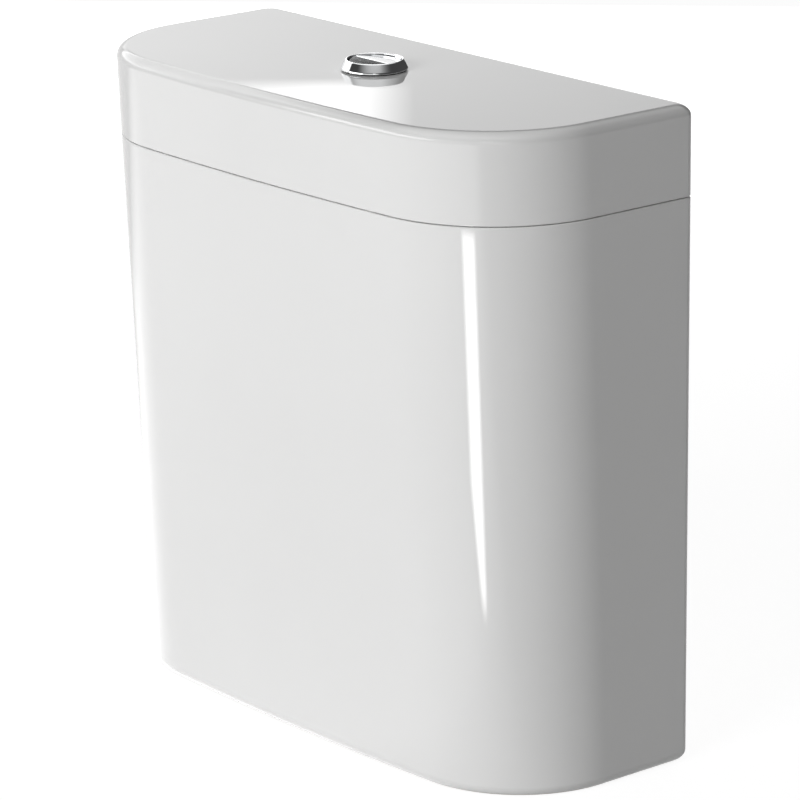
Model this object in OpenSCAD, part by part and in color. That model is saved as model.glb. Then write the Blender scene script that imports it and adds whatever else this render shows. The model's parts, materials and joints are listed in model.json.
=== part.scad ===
// Close-coupled toilet cistern: ceramic tank and lift-off lid, dual-flush push button,
// flush valve with overflow, and bottom-entry fill valve. Millimetres, +Z up.
// Origin: centre of the footprint on the plane of the foot rim. The front faces -Y.

/* [Outer shape] */
// Width of tank and lid
width = 390; // [370:1:410]
// Front-to-back depth at the top of the lid
depth_top = 168; // [163:1:180]
// Front-to-back depth at the foot rim
depth_base = 147; // [142:1:158]
// Height from foot rim to lid top
height = 400; // [390:1:430]
// Radius of the front corners at the top of the lid
corner_top = 84; // [70:1:92]
// Radius of the front corners at the foot rim
corner_base = 77; // [66:1:84]
// Radius of the slight outward bow of the front
bow_r = 2270; // [1500:10:4000]
// Radius of the upright edges at the wall side
back_corner = 6; // [4:0.5:9]
// Rounding under the tank's outer edge
base_round = 7; // [4:0.5:9]
// Rounding around the lid's top edge
lid_round = 7; // [4:0.5:9]

/* [Ceramic walls] */
// Wall of the tank
wall = 9; // [8:0.5:11]
// Floor of the tank
floor_t = 12; // [10:0.5:15]
// Depth of the hollow under the floor, which hides the fittings
recess_depth = 40; // [38:1:46]
// Distance from the outer face to the hollow under the floor
foot_wall = 15; // [13:0.5:18]
// Fillet inside the tank and the lid
inner_fillet = 10; // [6:1:14]
// Small rounding on both sides of the seam
seam_round = 0.8; // [0.6:0.1:2]
// Height of the lid from its lower edge to its top
lid_h = 54; // [50:1:60]
// Thickness of the lid's top
lid_top_t = 9; // [8:0.5:12]
// Thickness of the lid's skirt
lid_wall = 12; // [11.5:0.5:14]
// How far the lid's locating lugs reach into the tank
lug_drop = 8; // [5:1:12]
// Thickness of the locating lugs
lug_t = 6; // [4:0.5:8]
// Width of each locating lug
lug_w = 46; // [30:1:60]
// Thickness of the soft buffers under the lid
buffer_t = 0.5; // [0.4:0.1:1.2]
// Diameter of the soft buffers
buffer_d = 6.4; // [5:0.2:7]
// Sideways distance of the buffers from the middle
buffer_x = 96; // [80:1:105]
// Diameter of the two holes for the bolts to the pan
pan_bolt_hole_d = 12; // [10:0.5:14]
// Distance between the two bolt holes
pan_bolt_pitch = 150; // [140:1:165]

/* [Push button] */
// Outer diameter of the bezel
bezel_d = 40; // [39:0.5:44]
// Height of the bezel above its gasket
bezel_rise = 6; // [4:0.1:7]
// Diameter of the threaded sleeve under the bezel
sleeve_d = 34.6; // [34.2:0.2:35.4]
// Bore of the sleeve
sleeve_bore = 32.2; // [31.8:0.2:32.6]
// Length of the sleeve under the bezel
sleeve_len = 34; // [32:1:38]
// Thickness of the gasket under the bezel
bezel_gasket_t = 0.8; // [0.6:0.1:1.2]
// Outer diameter of the ring nut under the lid
button_nut_d = 56; // [50:1:60]
// Height of the ring nut
button_nut_h = 10; // [8:1:12]
// Thickness of the button caps
cap_t = 5; // [4:0.5:6]
// Slope of the large button, from the split down to the back
full_slope = 5; // [2:0.5:7]
// Slope of the small button, from the split down to the front
half_slope = 8; // [3:0.5:9]
// Distance of the split between the buttons in front of the axis
split_y = 2; // [1.4:0.2:2.4]
// Gap between the two buttons
split_gap = 0.8; // [0.6:0.1:1.2]
// Travel of each button
press_travel = 8; // [6:0.5:9]
// Diameter of the button stems
stem_d = 6; // [5.4:0.2:6.4]
// Thickness of the guide that closes the sleeve
guide_t = 5; // [4:0.5:6]
// Wire of the return springs
spring_wire = 0.9; // [0.7:0.1:1.1]
// Mean diameter of the return springs
spring_d = 9.2; // [8.8:0.2:9.6]
// Turns of each return spring
spring_turns = 6; // [4:1:7]
// Length of the push rods under their collars
rod_len = 52; // [44:1:60]
// Diameter of the push rods
rod_d = 5.2; // [4.6:0.2:5.6]
// Sideways distance of the push rods from the axis
rod_x = 5; // [4:0.5:6]
// Distance of the push rods behind and in front of the axis
rod_y = 8; // [7.5:0.5:8.5]

/* [Flush valve] */
// Distance from the wall plane to the valve's axis
valve_to_wall = 77; // [74:1:80]
// Diameter of the threaded tail
tail_d = 59.6; // [57:0.2:61]
// Bore of the outlet
outlet_bore = 50; // [46:0.5:51]
// Diameter of the plain spigot at the end of the tail
spigot_d = 56; // [54:0.5:56.6]
// Length of the plain spigot
spigot_len = 10; // [8:1:12]
// Height of the tail's end above the foot plane
tail_above_foot = 3; // [2:0.5:6]
// Diameter of the valve's flange
flange_d = 84; // [80:1:92]
// Thickness of the flange
flange_t = 5; // [4:0.5:6]
// Thickness of the washer under the flange
base_washer_t = 3; // [2:0.5:4]
// Height of the seat's lip above the flange
seat_rise = 6; // [4:0.5:8]
// Height of the valve base above its flange
base_h = 44; // [40:1:50]
// Inner diameter of the cage
cage_bore = 64; // [62.4:0.2:65]
// Width of the cage's windows
window_w = 40; // [34:1:44]
// Wall of the cage
cage_wall = 3; // [2:0.5:4]
// Thickness of the plate on top of the cage
plate_t = 6; // [5:0.5:8]
// Height of the lever pivots above the plate
pivot_rise = 48; // [46:1:54]
// Outer diameter of the overflow tube
tube_d = 30; // [26:0.5:31]
// Wall of the overflow tube
tube_wall = 2; // [1.6:0.2:3]
// Height of the overflow's mouth above the plate
tube_rise = 26; // [24:1:28]
// Diameter of the main seal
seal_d = 64; // [60:0.5:64.4]
// Thickness of the main seal
seal_t = 3; // [2:0.5:4]
// Diameter of the float on the overflow tube
float_d = 58; // [50:0.5:60]
// Height of the float on the overflow tube
float_h = 48; // [40:1:56]
// Sideways distance of the lever pivots from the axis
pivot_x = 24; // [23.5:0.5:26]
// Length of the levers' lifting arm
lift_arm = 16; // [14:0.5:18]
// Thickness of the levers
lever_t = 6; // [5:0.5:6.4]
// Diameter of the lever pins
lever_pin_d = 4; // [3:0.2:5]
// Height of the back nut
back_nut_h = 12; // [10:1:14]
// Diameter of the back nut across its lobes
back_nut_d = 92; // [86:1:100]
// Outer diameter of the coupling gasket
gasket_d = 98; // [90:1:106]
// Height of the half-flush float's stop above the cage's foot
half_stop_rise = 46; // [40:1:50]
// How far the half-flush float reaches past its link
half_float_reach = 15; // [12:0.5:20]
// Width of the half-flush float
half_float_w = 34; // [28:1:38]
// Height of the half-flush float
half_float_h = 40; // [34:1:46]

/* [Fill valve] */
// Distance from the tank's side to the fill valve's axis
fill_to_side = 67; // [60:1:72]
// Distance from the wall plane to the fill valve's axis
fill_to_wall = 70; // [62:1:76]
// Diameter of the inlet thread
inlet_d = 16.6; // [15.8:0.1:17.4]
// Bore of the inlet
inlet_bore = 10; // [8:0.5:11]
// Height of the inlet's end above the foot plane
inlet_above_foot = 6; // [4:0.5:10]
// Diameter of the inlet's flange inside the tank
inlet_flange_d = 34; // [30:1:38]
// Thickness of the inlet washer
inlet_washer_t = 3; // [2:0.5:4]
// Height of the lock nut
lock_nut_h = 10; // [8:1:12]
// Lock nut across its corners
lock_nut_d = 30; // [27:0.5:34]
// Diameter of the riser
riser_d = 20; // [18:0.5:21]
// Length of the riser above its flange
riser_h = 131; // [120:1:140]
// Outer diameter of the telescopic sleeve
fill_sleeve_d = 25; // [24:0.5:26]
// Height of the sleeve's lower end above the riser's flange
fill_sleeve_from = 91; // [84:1:100]
// Length of the telescopic sleeve
fill_sleeve_h = 140; // [132:1:150]
// Height of the ring that locks the sleeve
lock_ring_h = 10; // [8:0.5:14]
// Diameter of the float cup
cup_d = 56; // [50:1:60]
// Height of the float cup
cup_h = 62; // [54:1:66]
// Height of the float cup's stop above the sleeve's lower end
cup_stop = 52; // [48:1:56]
// Travel of the float cup
cup_travel = 10; // [8:0.5:11]
// Diameter of the valve head
head_d = 44; // [40:1:48]
// Height of the valve head
head_h = 22; // [18:1:26]
// Height of the cap on the valve head
cap_h = 9; // [8:0.5:12]
// Width of the float lever
float_lever_w = 12; // [10:0.5:14]
// Distance of the float lever's pivot from the fill axis
float_pivot_x = 12; // [10:0.5:14]
// Distance of the level screw from the fill axis
screw_x = 40; // [38:0.5:44]
// Diameter of the level screw
screw_d = 4; // [3:0.2:4.6]
// Distance of the silencer tube from the fill axis
silencer_y = 37; // [36:0.5:40]
// Diameter of the silencer tube
silencer_d = 12; // [10:0.5:13]
// Length of the silencer tube
silencer_h = 210; // [180:1:220]

/* [Fits] */
// Radial running clearance of pins in their holes
pin_clear = 0.05; // [0.03:0.01:0.1]
// Radial clearance of parts that slide in one another
slide_clear = 0.3; // [0.2:0.05:0.35]
// Radial clearance of screwed and pushed-on parts
seat_clear = 0.15; // [0.1:0.05:0.2]
// Radial clearance of fittings in the ceramic's holes
ceramic_clear = 0.8; // [0.5:0.1:1.5]
// Clearance between the lid's lugs and the tank's wall
lug_clear = 2; // [1.5:0.1:3]
// Gap between parts that push on one another
touch_gap = 0.3; // [0.2:0.05:0.4]

/* [Hidden] */

$fn = 64;
past = 1;                      // how far a cut runs past the face it opens
front_steps = 8;
corner_steps = 14;
edge_steps = 4;

// Heights and places that several pieces share
back_y = depth_at(height - lid_round) / 2;       // the deepest row lies under the lid's rounding
seam_z = height - lid_h - buffer_t;
lid_z = height - lid_h;
lid_ceiling_z = height - lid_top_t;
floor_z = recess_depth + floor_t;
valve_y = back_y - valve_to_wall;
fill_x = width / 2 - fill_to_side;
fill_y = back_y - fill_to_wall;

// Push button, measured from the lid's top
bezel_z = height + bezel_gasket_t;
sleeve_end_z = bezel_z - sleeve_len;
guide_plug = guide_t / 2;                       // half of the guide sits inside the sleeve
guide_top_z = sleeve_end_z + guide_plug;
guide_under_z = sleeve_end_z - (guide_t - guide_plug);
ridge_drop = 0.4;                               // the buttons' ridge lies this far under the bezel's rim
cap_top_z = bezel_z + bezel_rise - ridge_drop;
cap_under_z = cap_top_z - cap_t;
cap_r = sleeve_bore / 2 - slide_clear;
rod_collar_h = 12;
rod_collar_top_z = guide_under_z - touch_gap;
rod_collar_z = rod_collar_top_z - rod_collar_h;
stem_end_z = rod_collar_z + 2;
rod_collar_d = stem_d + 4;

// Flush valve, measured up from the floor and down from the push rods
pad_rise = 6;                                   // pressed face of the levers above their pivot
flange_z = floor_z + base_washer_t;
flange_top_z = flange_z + flange_t;
seat_z = flange_top_z + seat_rise;
base_top_z = flange_top_z + base_h;
rod_end_z = rod_collar_z - rod_len;
pad_z = rod_end_z - touch_gap;
pivot_z = pad_z - pad_rise;
plate_top_z = pivot_z - pivot_rise;
cage_top_z = plate_top_z - plate_t;
cage_h = cage_top_z - base_top_z;               // the cage is made to suit the cistern's height
mouth_z = plate_top_z + tube_rise;
cage_r = cage_bore / 2 + cage_wall;
ring_wall = 5;                                  // ring that the cage locks onto
ring_h = 12;
ring_in = cage_bore / 2 + 1;
frame_out = ring_in + ring_wall;
frame_foot_h = 3;
tube_r = tube_d / 2;
carrier_t = 3;                                  // flange of the tube on top of the seal
seat_lip_w = 3;
retainer_h = 4;
tube_foot_z = seat_z - retainer_h - 2;
nut_under_z = recess_depth - back_nut_h;
spigot_top_z = tail_above_foot + spigot_len;

// Levers at the top of the flush valve
press_arm = pivot_x - rod_x;
nose_r = 3;
nose_rise = 2;                                  // centre of the lifting nose above the pivot
boss_r = lever_pin_d / 2 + 3;
shelf_z = pivot_z + nose_rise + nose_r + touch_gap;
nose_x = pivot_x + lift_arm;
ear_t = 3;
ear_gap = 0.4;
shelf_t = 4;
post_t = 4;
post_in = nose_x + nose_r + 2;
post_out = post_in + post_t;
shelf_len = post_out - nose_x + 5;
arm_w = lever_t - 0.2;                          // arms that pass between the ears
yoke_arm_z = plate_top_z + 8;
yoke_h = 10;
plate_r = cage_r + 2.5;

// Half-flush float on its rail beside the cage
rail_out = cage_r + 4.5;
rail_w = 6;
half_stop_z = base_top_z + half_stop_rise;
half_float_z = half_stop_z;
half_float_out = post_out + half_float_reach;

// Fill valve, measured up from the floor
inlet_flange_z = floor_z + inlet_washer_t;
inlet_flange_t = 4;
riser_z = inlet_flange_z + inlet_flange_t;
fill_sleeve_z = riser_z + fill_sleeve_from;
fill_sleeve_top_z = fill_sleeve_z + fill_sleeve_h;
head_top_z = fill_sleeve_top_z + head_h;
cup_z = fill_sleeve_z + cup_stop;
cup_top_z = cup_z + cup_h;
cup_bore_r = fill_sleeve_d / 2 + slide_clear;
cup_wall = 2;
lever_rest = asin(cup_travel / 2 / (screw_x - float_pivot_x));
float_lever_t = 4;
pilot_h = 2;                                    // seat under the short end of the float lever
short_over = 3;                                 // the short end runs this far past the seat's middle
float_pivot_z = head_top_z + cap_h + pilot_h + touch_gap
    + (float_pivot_x + short_over) * sin(lever_rest) + float_lever_t / 2;
float_pin_d = 3;
bracket_h = 8;                                  // block on the cup that holds the level screw
cup_lid_t = 3;
bracket_z = cup_top_z - cup_lid_t - bracket_h;
float_ear_t = 4;
diaphragm_t = 4;
pocket_r = head_d / 2 - 4;                      // pocket in the head for the diaphragm
socket_drop = 6;                                // socket of the silencer tube, below the head
socket_depth = 8;                               // and up into the head's arm
relief_w = 2;                                   // groove that ends the inlet's free thread

// Plan outline

function depth_at(z) = depth_base + (depth_top - depth_base) * z / height;
function corner_at(z) = corner_base + (corner_top - corner_base) * z / height;
function front_y(z) = back_y - depth_at(z);

function arc(centre, r, from, to, steps, first = 0, last = 0) =
    [for (k = [first : steps - last])
        let (a = from + (to - from) * k / steps)
        centre + r * [cos(a), sin(a)]];

// D-shaped outline at height z, moved inwards by inset: bowed front, two large front corners,
// straight sides and a flat back with corners of radius back_r.
function outline(z, inset, back_r) =
    let (
        r = corner_at(z),
        bow_centre = [0, front_y(z) + bow_r],
        cx = width / 2 - r,
        cy = bow_centre.y - sqrt(pow(bow_r - r, 2) - cx * cx),
        turn = atan2(cy - bow_centre.y, cx),
        bx = width / 2 - inset - back_r,
        by = back_y - inset - back_r
    )
    concat(
        arc(bow_centre, bow_r - inset, -180 - turn, turn, front_steps),
        arc([cx, cy], r - inset, turn, 0, corner_steps, first = 1),
        arc([bx, by], back_r, 0, 90, edge_steps),
        arc([-bx, by], back_r, 90, 180, edge_steps),
        arc([-cx, cy], r - inset, 180, 180 - turn, corner_steps, last = 1)
    );

// Rows of [height, inset] for a quarter round of radius r that ends flat at height z.
// side is 1 at a top edge and -1 at a bottom edge, and the rows run upwards.
function rounded_edge(z, r, side, inset = 0) =
    [for (k = [0 : edge_steps])
        let (a = side > 0 ? 90 * k / edge_steps : 90 - 90 * k / edge_steps)
        [z - side * r + side * r * sin(a), inset + r * (1 - cos(a))]];

// Rows for a fillet of radius r at the closed end of a hollow: the same quarter round, inside.
function fillet_rows(z, r, side, inset) = rounded_edge(z, r, side, inset);

module loft(rows, back_r) {
    rings = [for (row = rows) [for (p = outline(row[0], row[1], back_r)) [p.x, p.y, row[0]]]];
    n = len(rings[0]);
    last = (len(rings) - 1) * n;
    polyhedron(
        points = [for (ring = rings) each ring],
        faces = concat(
            [[for (i = [0 : n - 1]) i]],
            [for (s = [0 : len(rings) - 2], i = [0 : n - 1])
                each let (a = s * n + i, b = s * n + (i + 1) % n)
                    [[a, a + n, b + n], [a, b + n, b]]],
            [[for (i = [n - 1 : -1 : 0]) last + i]]
        )
    );
}

// Round pieces

module tube(r_in, r_out, z0, z1) {
    rotate_extrude() translate([r_in, z0]) square([r_out - r_in, z1 - z0]);
}

module rod(r, z0, z1) {
    translate([0, 0, z0]) cylinder(r = r, h = z1 - z0);
}

module at_valve() {
    translate([0, valve_y, 0]) children();
}

module at_fill() {
    translate([-fill_x, fill_y, 0]) children();
}

// side is 1 for the full-flush train at the back and -1 for the half-flush train in front:
// the second is the first turned half round the valve's axis.
module for_side(side) {
    at_valve() rotate([0, 0, side > 0 ? 0 : 180]) children();
}

// Ceramic

module cistern_tank() {
    color("whitesmoke") difference() {
        loft(concat(rounded_edge(0, base_round, -1), rounded_edge(seam_z, seam_round, 1)), back_corner);
        loft(concat(
            fillet_rows(floor_z, inner_fillet, -1, wall),
            [[seam_z + past, wall]]), inner_fillet);
        loft(concat(
            [[-past, foot_wall]],
            fillet_rows(recess_depth, inner_fillet, 1, foot_wall)), inner_fillet);
        at_valve() rod(tail_d / 2 + ceramic_clear, recess_depth - past, floor_z + past);
        at_valve() for (side = [-1, 1])
            translate([side * pan_bolt_pitch / 2, 0, 0])
                rod(pan_bolt_hole_d / 2, recess_depth - past, floor_z + past);
        at_fill() rod(inlet_d / 2 + ceramic_clear, recess_depth - past, floor_z + past);
    }
}

// Four lugs, cut from one ring that grows out of the skirt's inside and steps in below it.
module lid_lugs() {
    lug_out = wall + lug_clear;
    lug_root = 20;                              // height of the lugs on the inside of the skirt
    step = 2;
    intersection() {
        difference() {
            loft([
                [lid_z - lug_drop, lug_out],
                [lid_z + step / 2, lug_out],
                [lid_z + 2 * step, lid_wall - step],
                [lid_z + lug_root, lid_wall - step]], inner_fillet);
            loft([
                [lid_z - lug_drop - past, lug_out + lug_t],
                [lid_z + lug_root + past, lug_out + lug_t]], inner_fillet);
        }
        for (side = [-1, 1])
            translate([side * buffer_x, 0, lid_z])
                cube([lug_w, 2 * depth_top, 2 * lid_h], center = true);
    }
}

module cistern_lid() {
    color("whitesmoke") difference() {
        union() {
            difference() {
                loft(concat(
                    rounded_edge(lid_z, seam_round, -1),
                    rounded_edge(height, lid_round, 1)), back_corner);
                loft(concat(
                    [[lid_z - past, lid_wall]],
                    fillet_rows(lid_ceiling_z, inner_fillet, 1, lid_wall)), inner_fillet);
            }
            lid_lugs();
        }
        at_valve() rod(sleeve_d / 2 + ceramic_clear, lid_ceiling_z - past, height + past);
    }
}

module lid_buffers() {
    inset = wall / 2;
    front_edge = front_y(seam_z) + bow_r - sqrt(pow(bow_r - inset, 2) - pow(buffer_x, 2));
    color("gainsboro") for (side = [-1, 1], y = [front_edge, back_y - inset])
        translate([side * buffer_x, y, 0]) rod(buffer_d / 2, seam_z, lid_z);
}

// Push button

// Cone on a short upstand, with a rounded lip, and the sleeve under it.
module button_bezel() {
    in_r = sleeve_bore / 2;
    upstand = 0.8;
    lip_r = 0.8;
    lip = [in_r + lip_r, bezel_z + bezel_rise - lip_r];
    shoulder = [bezel_d / 2, bezel_z + upstand];
    slope = atan2(shoulder.y - lip.y, shoulder.x - lip.x) + acos(lip_r / norm(shoulder - lip));
    color("silver") at_valve() {
        rotate_extrude() polygon(concat(
            [[in_r, bezel_z], [bezel_d / 2, bezel_z], shoulder],
            arc(lip, lip_r, slope, 180, edge_steps)
        ));
        tube(in_r, sleeve_d / 2, sleeve_end_z, bezel_z + 0.01);
    }
}

module bezel_gasket() {
    color("dimgray") at_valve() tube(sleeve_d / 2 + seat_clear, bezel_d / 2 - 1, height, bezel_z);
}

module button_nut() {
    wing_w = 7;
    z0 = lid_ceiling_z - button_nut_h;
    hub_r = sleeve_d / 2 + 5;
    color("white") at_valve() difference() {
        union() {
            rod(hub_r, z0, lid_ceiling_z);
            rod(button_nut_d / 2, lid_ceiling_z - 3, lid_ceiling_z);
            for (a = [0 : 45 : 315]) rotate([0, 0, a])
                translate([hub_r - 1, -wing_w / 4, z0])
                    cube([button_nut_d / 2 - hub_r - 1, wing_w / 2, button_nut_h - 1]);
        }
        rod(sleeve_d / 2 + seat_clear, z0 - past, lid_ceiling_z + past);
    }
}

module button_guide() {
    color("white") at_valve() difference() {
        union() {
            rod(sleeve_bore / 2 - seat_clear, sleeve_end_z - 0.01, guide_top_z);
            rod(sleeve_d / 2, guide_under_z, sleeve_end_z);
        }
        for (turn = [0, 180]) rotate([0, 0, turn]) translate([-rod_x, rod_y, 0])
            rod(stem_d / 2 + slide_clear, guide_under_z - past, guide_top_z + past);
    }
}

// Both buttons are cut from one disc and slope away from the split, to the back (1) or the front (-1).
module button_cap(side, slope) {
    near = split_gap / 2;
    far = cap_r + split_y + past;
    intersection() {
        rod(cap_r, cap_under_z, cap_top_z);
        translate([0, -split_y, cap_top_z]) rotate([90, 0, side * 90]) linear_extrude(2 * far, center = true)
            polygon([
                [near, -cap_t - past], [far, -cap_t - past],
                [far, -far * tan(slope)], [near, -near * tan(slope)]
            ]);
    }
}

module button_stem() {
    translate([-rod_x, rod_y, 0]) rod(stem_d / 2, stem_end_z, cap_under_z + 0.5);
}

module full_flush_button() {
    color("silver") {
        at_valve() button_cap(1, full_slope);
        for_side(1) button_stem();
    }
}

module half_flush_button() {
    color("silver") {
        at_valve() button_cap(-1, half_slope);
        for_side(-1) button_stem();
    }
}

// Helical wire from z0 to z1: rings of a hexagonal section along the helix.
module helix(r, wire, turns, z0, z1) {
    per_turn = 8;
    sides = 6;
    steps = per_turn * turns;
    rise = z1 - z0 - wire;
    pitch = rise / turns;
    slope = atan2(pitch, 360 * r * PI / 180);
    rings = [for (s = [0 : steps])
        let (a = 360 * s / per_turn, c = [r * cos(a), r * sin(a), z0 + wire / 2 + rise * s / steps],
             out = [cos(a), sin(a), 0],
             up = [sin(a) * sin(slope), -cos(a) * sin(slope), cos(slope)])
        [for (k = [0 : sides - 1])
            let (b = 360 * k / sides) c + wire / 2 * (cos(b) * out + sin(b) * up)]];
    echo(least_spring_gap = pitch * cos(slope) - wire);
    polyhedron(
        points = [for (ring = rings) each ring],
        faces = concat(
            [[for (k = [0 : sides - 1]) k]],
            [for (s = [0 : steps - 1], k = [0 : sides - 1])
                each let (p = s * sides + k, q = s * sides + (k + 1) % sides)
                    [[p, p + sides, q + sides], [p, q + sides, q]]],
            [[for (k = [sides - 1 : -1 : 0]) steps * sides + k]]
        )
    );
}

module button_spring(side) {
    color("lightslategray") for_side(side) translate([-rod_x, rod_y, 0])
        helix(spring_d / 2, spring_wire, spring_turns, guide_top_z + 0.1, cap_under_z - 0.1);
}

module full_button_spring() {
    button_spring(1);
}

module half_button_spring() {
    button_spring(-1);
}

// A socket collar that screws onto the stem, and a rod with a domed end above the lever's pad.
module push_rod(side) {
    tip_r = rod_d / 2;
    color("white") for_side(side) translate([-rod_x, rod_y, 0]) {
        difference() {
            rod(rod_collar_d / 2, rod_collar_z, rod_collar_top_z);
            rod(stem_d / 2 + pin_clear, stem_end_z - 0.5, rod_collar_top_z + past);
        }
        rod(tip_r, rod_end_z + tip_r, rod_collar_z + 0.5);
        translate([0, 0, rod_end_z + tip_r]) sphere(r = tip_r);
    }
}

module full_push_rod() {
    push_rod(1);
}

module half_push_rod() {
    push_rod(-1);
}

// Flush valve, fixed pieces

// Threaded tail, flange and seat in one revolve, and hooks that hold the lower frame's foot.
module valve_base() {
    bore_r = outlet_bore / 2;
    hooks = 3;
    hook_w = 10;
    hook_t = 2.5;
    hook_in = frame_out + ear_gap;
    color("white") at_valve() {
        rotate_extrude() polygon([
            [bore_r, tail_above_foot], [spigot_d / 2, tail_above_foot], [spigot_d / 2, spigot_top_z],
            [tail_d / 2, spigot_top_z], [tail_d / 2, flange_z], [flange_d / 2, flange_z],
            [flange_d / 2, flange_top_z], [bore_r + seat_lip_w + 2, flange_top_z],
            [bore_r + seat_lip_w, seat_z], [bore_r, seat_z]
        ]);
        for (a = [30 : 360 / hooks : 389]) rotate([0, 0, a])
            translate([hook_in, -hook_w / 2, flange_top_z - 0.5]) cube([hook_t, hook_w, frame_foot_h + 1.5]);
    }
}

// Foot ring, legs with windows for the water between them, and the ring that the cage locks onto.
module lower_frame() {
    legs = 6;
    leg_w = 7;
    leg_in = ring_in + 0.5;
    leg_out = ring_in + ring_wall - 0.5;
    color("white") at_valve() {
        tube(ring_in, frame_out, flange_top_z, flange_top_z + frame_foot_h);
        tube(ring_in, frame_out, base_top_z - ring_h, base_top_z);
        for (a = [0 : 360 / legs : 359]) rotate([0, 0, a])
            intersection() {
                tube(leg_in, leg_out, flange_top_z + 0.5, base_top_z - 0.5);
                translate([0, -leg_w / 2, flange_top_z]) cube([frame_out, leg_w, base_h]);
            }
    }
}

module base_washer() {
    color("dimgray") at_valve() tube(tail_d / 2 + slide_clear, flange_d / 2, floor_z, flange_z);
}

// Hand nut: a hub with round lobes to grip.
module back_nut() {
    lobes = 8;
    hub_r = tail_d / 2 + 9;
    lobe_r = 8;
    color("white") at_valve() difference() {
        union() {
            rod(hub_r, nut_under_z, recess_depth);
            for (a = [0 : 360 / lobes : 359]) rotate([0, 0, a])
                translate([back_nut_d / 2 - lobe_r, 0, 0]) rod(lobe_r, nut_under_z, recess_depth);
        }
        rod(tail_d / 2 + seat_clear, nut_under_z - past, recess_depth + past);
    }
}

// Soft ring that seals the joint to the pan, chamfered where it enters the pan's inlet.
module coupling_gasket() {
    r_in = tail_d / 2 + slide_clear;
    r_out = gasket_d / 2;
    chamfer = 5;
    color("dimgray") at_valve() rotate_extrude() polygon([
        [r_in, spigot_top_z], [r_out - chamfer, spigot_top_z], [r_out, spigot_top_z + chamfer],
        [r_out, nut_under_z], [r_in, nut_under_z]
    ]);
}

// Open cage with four windows, two hoops across them, a bayonet skirt and the half-flush float's rail.
module valve_cage() {
    z0 = base_top_z;
    window_z = z0 + 14;
    window_h = cage_h - 28;
    skirt_h = 5;
    hoop_h = 5;
    color("white") at_valve() {
        difference() {
            union() {
                tube(cage_bore / 2, cage_r, z0, cage_top_z);
                tube(cage_bore / 2, frame_out, z0, z0 + skirt_h);
            }
            for (turn = [45, 135]) rotate([0, 0, turn])
                translate([-cage_r - past, -window_w / 2, window_z])
                    cube([2 * (cage_r + past), window_w, window_h]);
        }
        for (share = [0.45, 0.75]) let (z = window_z + share * window_h)
            tube(cage_bore / 2, cage_r - 0.5, z, z + hoop_h);
        translate([0, -rod_y - rail_w / 2, z0])
            difference() {
                translate([cage_bore / 2 - 2, 0, 0]) cube([rail_out - cage_bore / 2 + 2, rail_w, cage_h]);
                translate([0, rod_y + rail_w / 2, -past]) cylinder(d = cage_bore, h = cage_h + 2 * past);
            }
        translate([rail_out - 1, -rod_y - rail_w / 2, half_stop_z - 4])
            cube([10, rail_w, 4]);
    }
}

// Plate with the guide hole for the overflow tube and two pairs of ears for the levers.
module lever_ear() {
    ear_w = 2 * boss_r - 1;
    gusset = 6;                                 // the ears spread outwards towards the plate
    foot_z = plate_top_z - 0.5;
    translate([0, ear_t / 2, 0]) rotate([90, 0, 0]) linear_extrude(ear_t) difference() {
        union() {
            polygon([
                [-ear_w / 2 - gusset, foot_z], [ear_w / 2, foot_z],
                [ear_w / 2, pivot_z], [-ear_w / 2, pivot_z]
            ]);
            translate([0, pivot_z]) circle(d = ear_w);
        }
        translate([0, pivot_z]) circle(r = lever_pin_d / 2 + pin_clear);
    }
}

module cage_top() {
    ear_y = lever_t / 2 + ear_gap + ear_t / 2;
    color("white") {
        at_valve() tube(tube_r + 1.5, plate_r, cage_top_z, plate_top_z);
        for (side = [-1, 1]) for_side(side)
            for (y = [-ear_y, ear_y]) translate([-pivot_x, rod_y + y, 0]) lever_ear();
    }
}

module lever_pins() {
    half_len = lever_t / 2 + ear_gap + ear_t;
    color("silver") for (side = [-1, 1]) for_side(side)
        translate([-pivot_x, rod_y + half_len, pivot_z]) rotate([90, 0, 0])
            cylinder(d = lever_pin_d, h = 2 * half_len);
}

// Flush valve, moving pieces

// Rocker seen from the front, with its pivot at the origin: pad to the right, nose to the left.
module lever_outline() {
    pad_half = 4;
    arm_t = 4;
    difference() {
        union() {
            circle(r = boss_r);
            translate([-lift_arm, nose_rise]) circle(r = nose_r);
            polygon([
                [-lift_arm, nose_rise - nose_r], [0, -boss_r], [press_arm - pad_half, pad_rise - arm_t],
                [press_arm + pad_half, pad_rise - arm_t], [press_arm + pad_half, pad_rise],
                [press_arm - pad_half, pad_rise], [0, boss_r], [-lift_arm, nose_rise + nose_r]
            ]);
        }
        circle(r = lever_pin_d / 2 + pin_clear);
    }
}

module lever(side) {
    for_side(side) translate([-pivot_x, rod_y + lever_t / 2, pivot_z])
        rotate([90, 0, 0]) linear_extrude(lever_t) lever_outline();
}

module full_lever() {
    color("steelblue") lever(1);
}

module half_lever() {
    color("seagreen") lever(-1);
}

// The mouth is chamfered inside.
module overflow_tube() {
    in_r = tube_r - tube_wall;
    lip = tube_wall / 2;
    color("white") at_valve() rotate_extrude() polygon([
        [in_r, tube_foot_z], [tube_r, tube_foot_z], [tube_r, mouth_z], [in_r + lip, mouth_z],
        [in_r, mouth_z - 2 * lip]
    ]);
}

// Disc that presses the seal down, with a coned hub on the overflow tube.
module seal_carrier() {
    hub_h = 9;
    hub_wall = 2;
    in_r = tube_r + pin_clear;
    carrier_r = outlet_bore / 2 + seat_lip_w + 2;
    z0 = seat_z + seal_t;
    color("white") at_valve() rotate_extrude() polygon([
        [in_r, z0], [carrier_r, z0], [carrier_r, z0 + carrier_t], [in_r + 2 * hub_wall, z0 + carrier_t + 1],
        [in_r + hub_wall, z0 + carrier_t + hub_h], [in_r, z0 + carrier_t + hub_h]
    ]);
}

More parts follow.
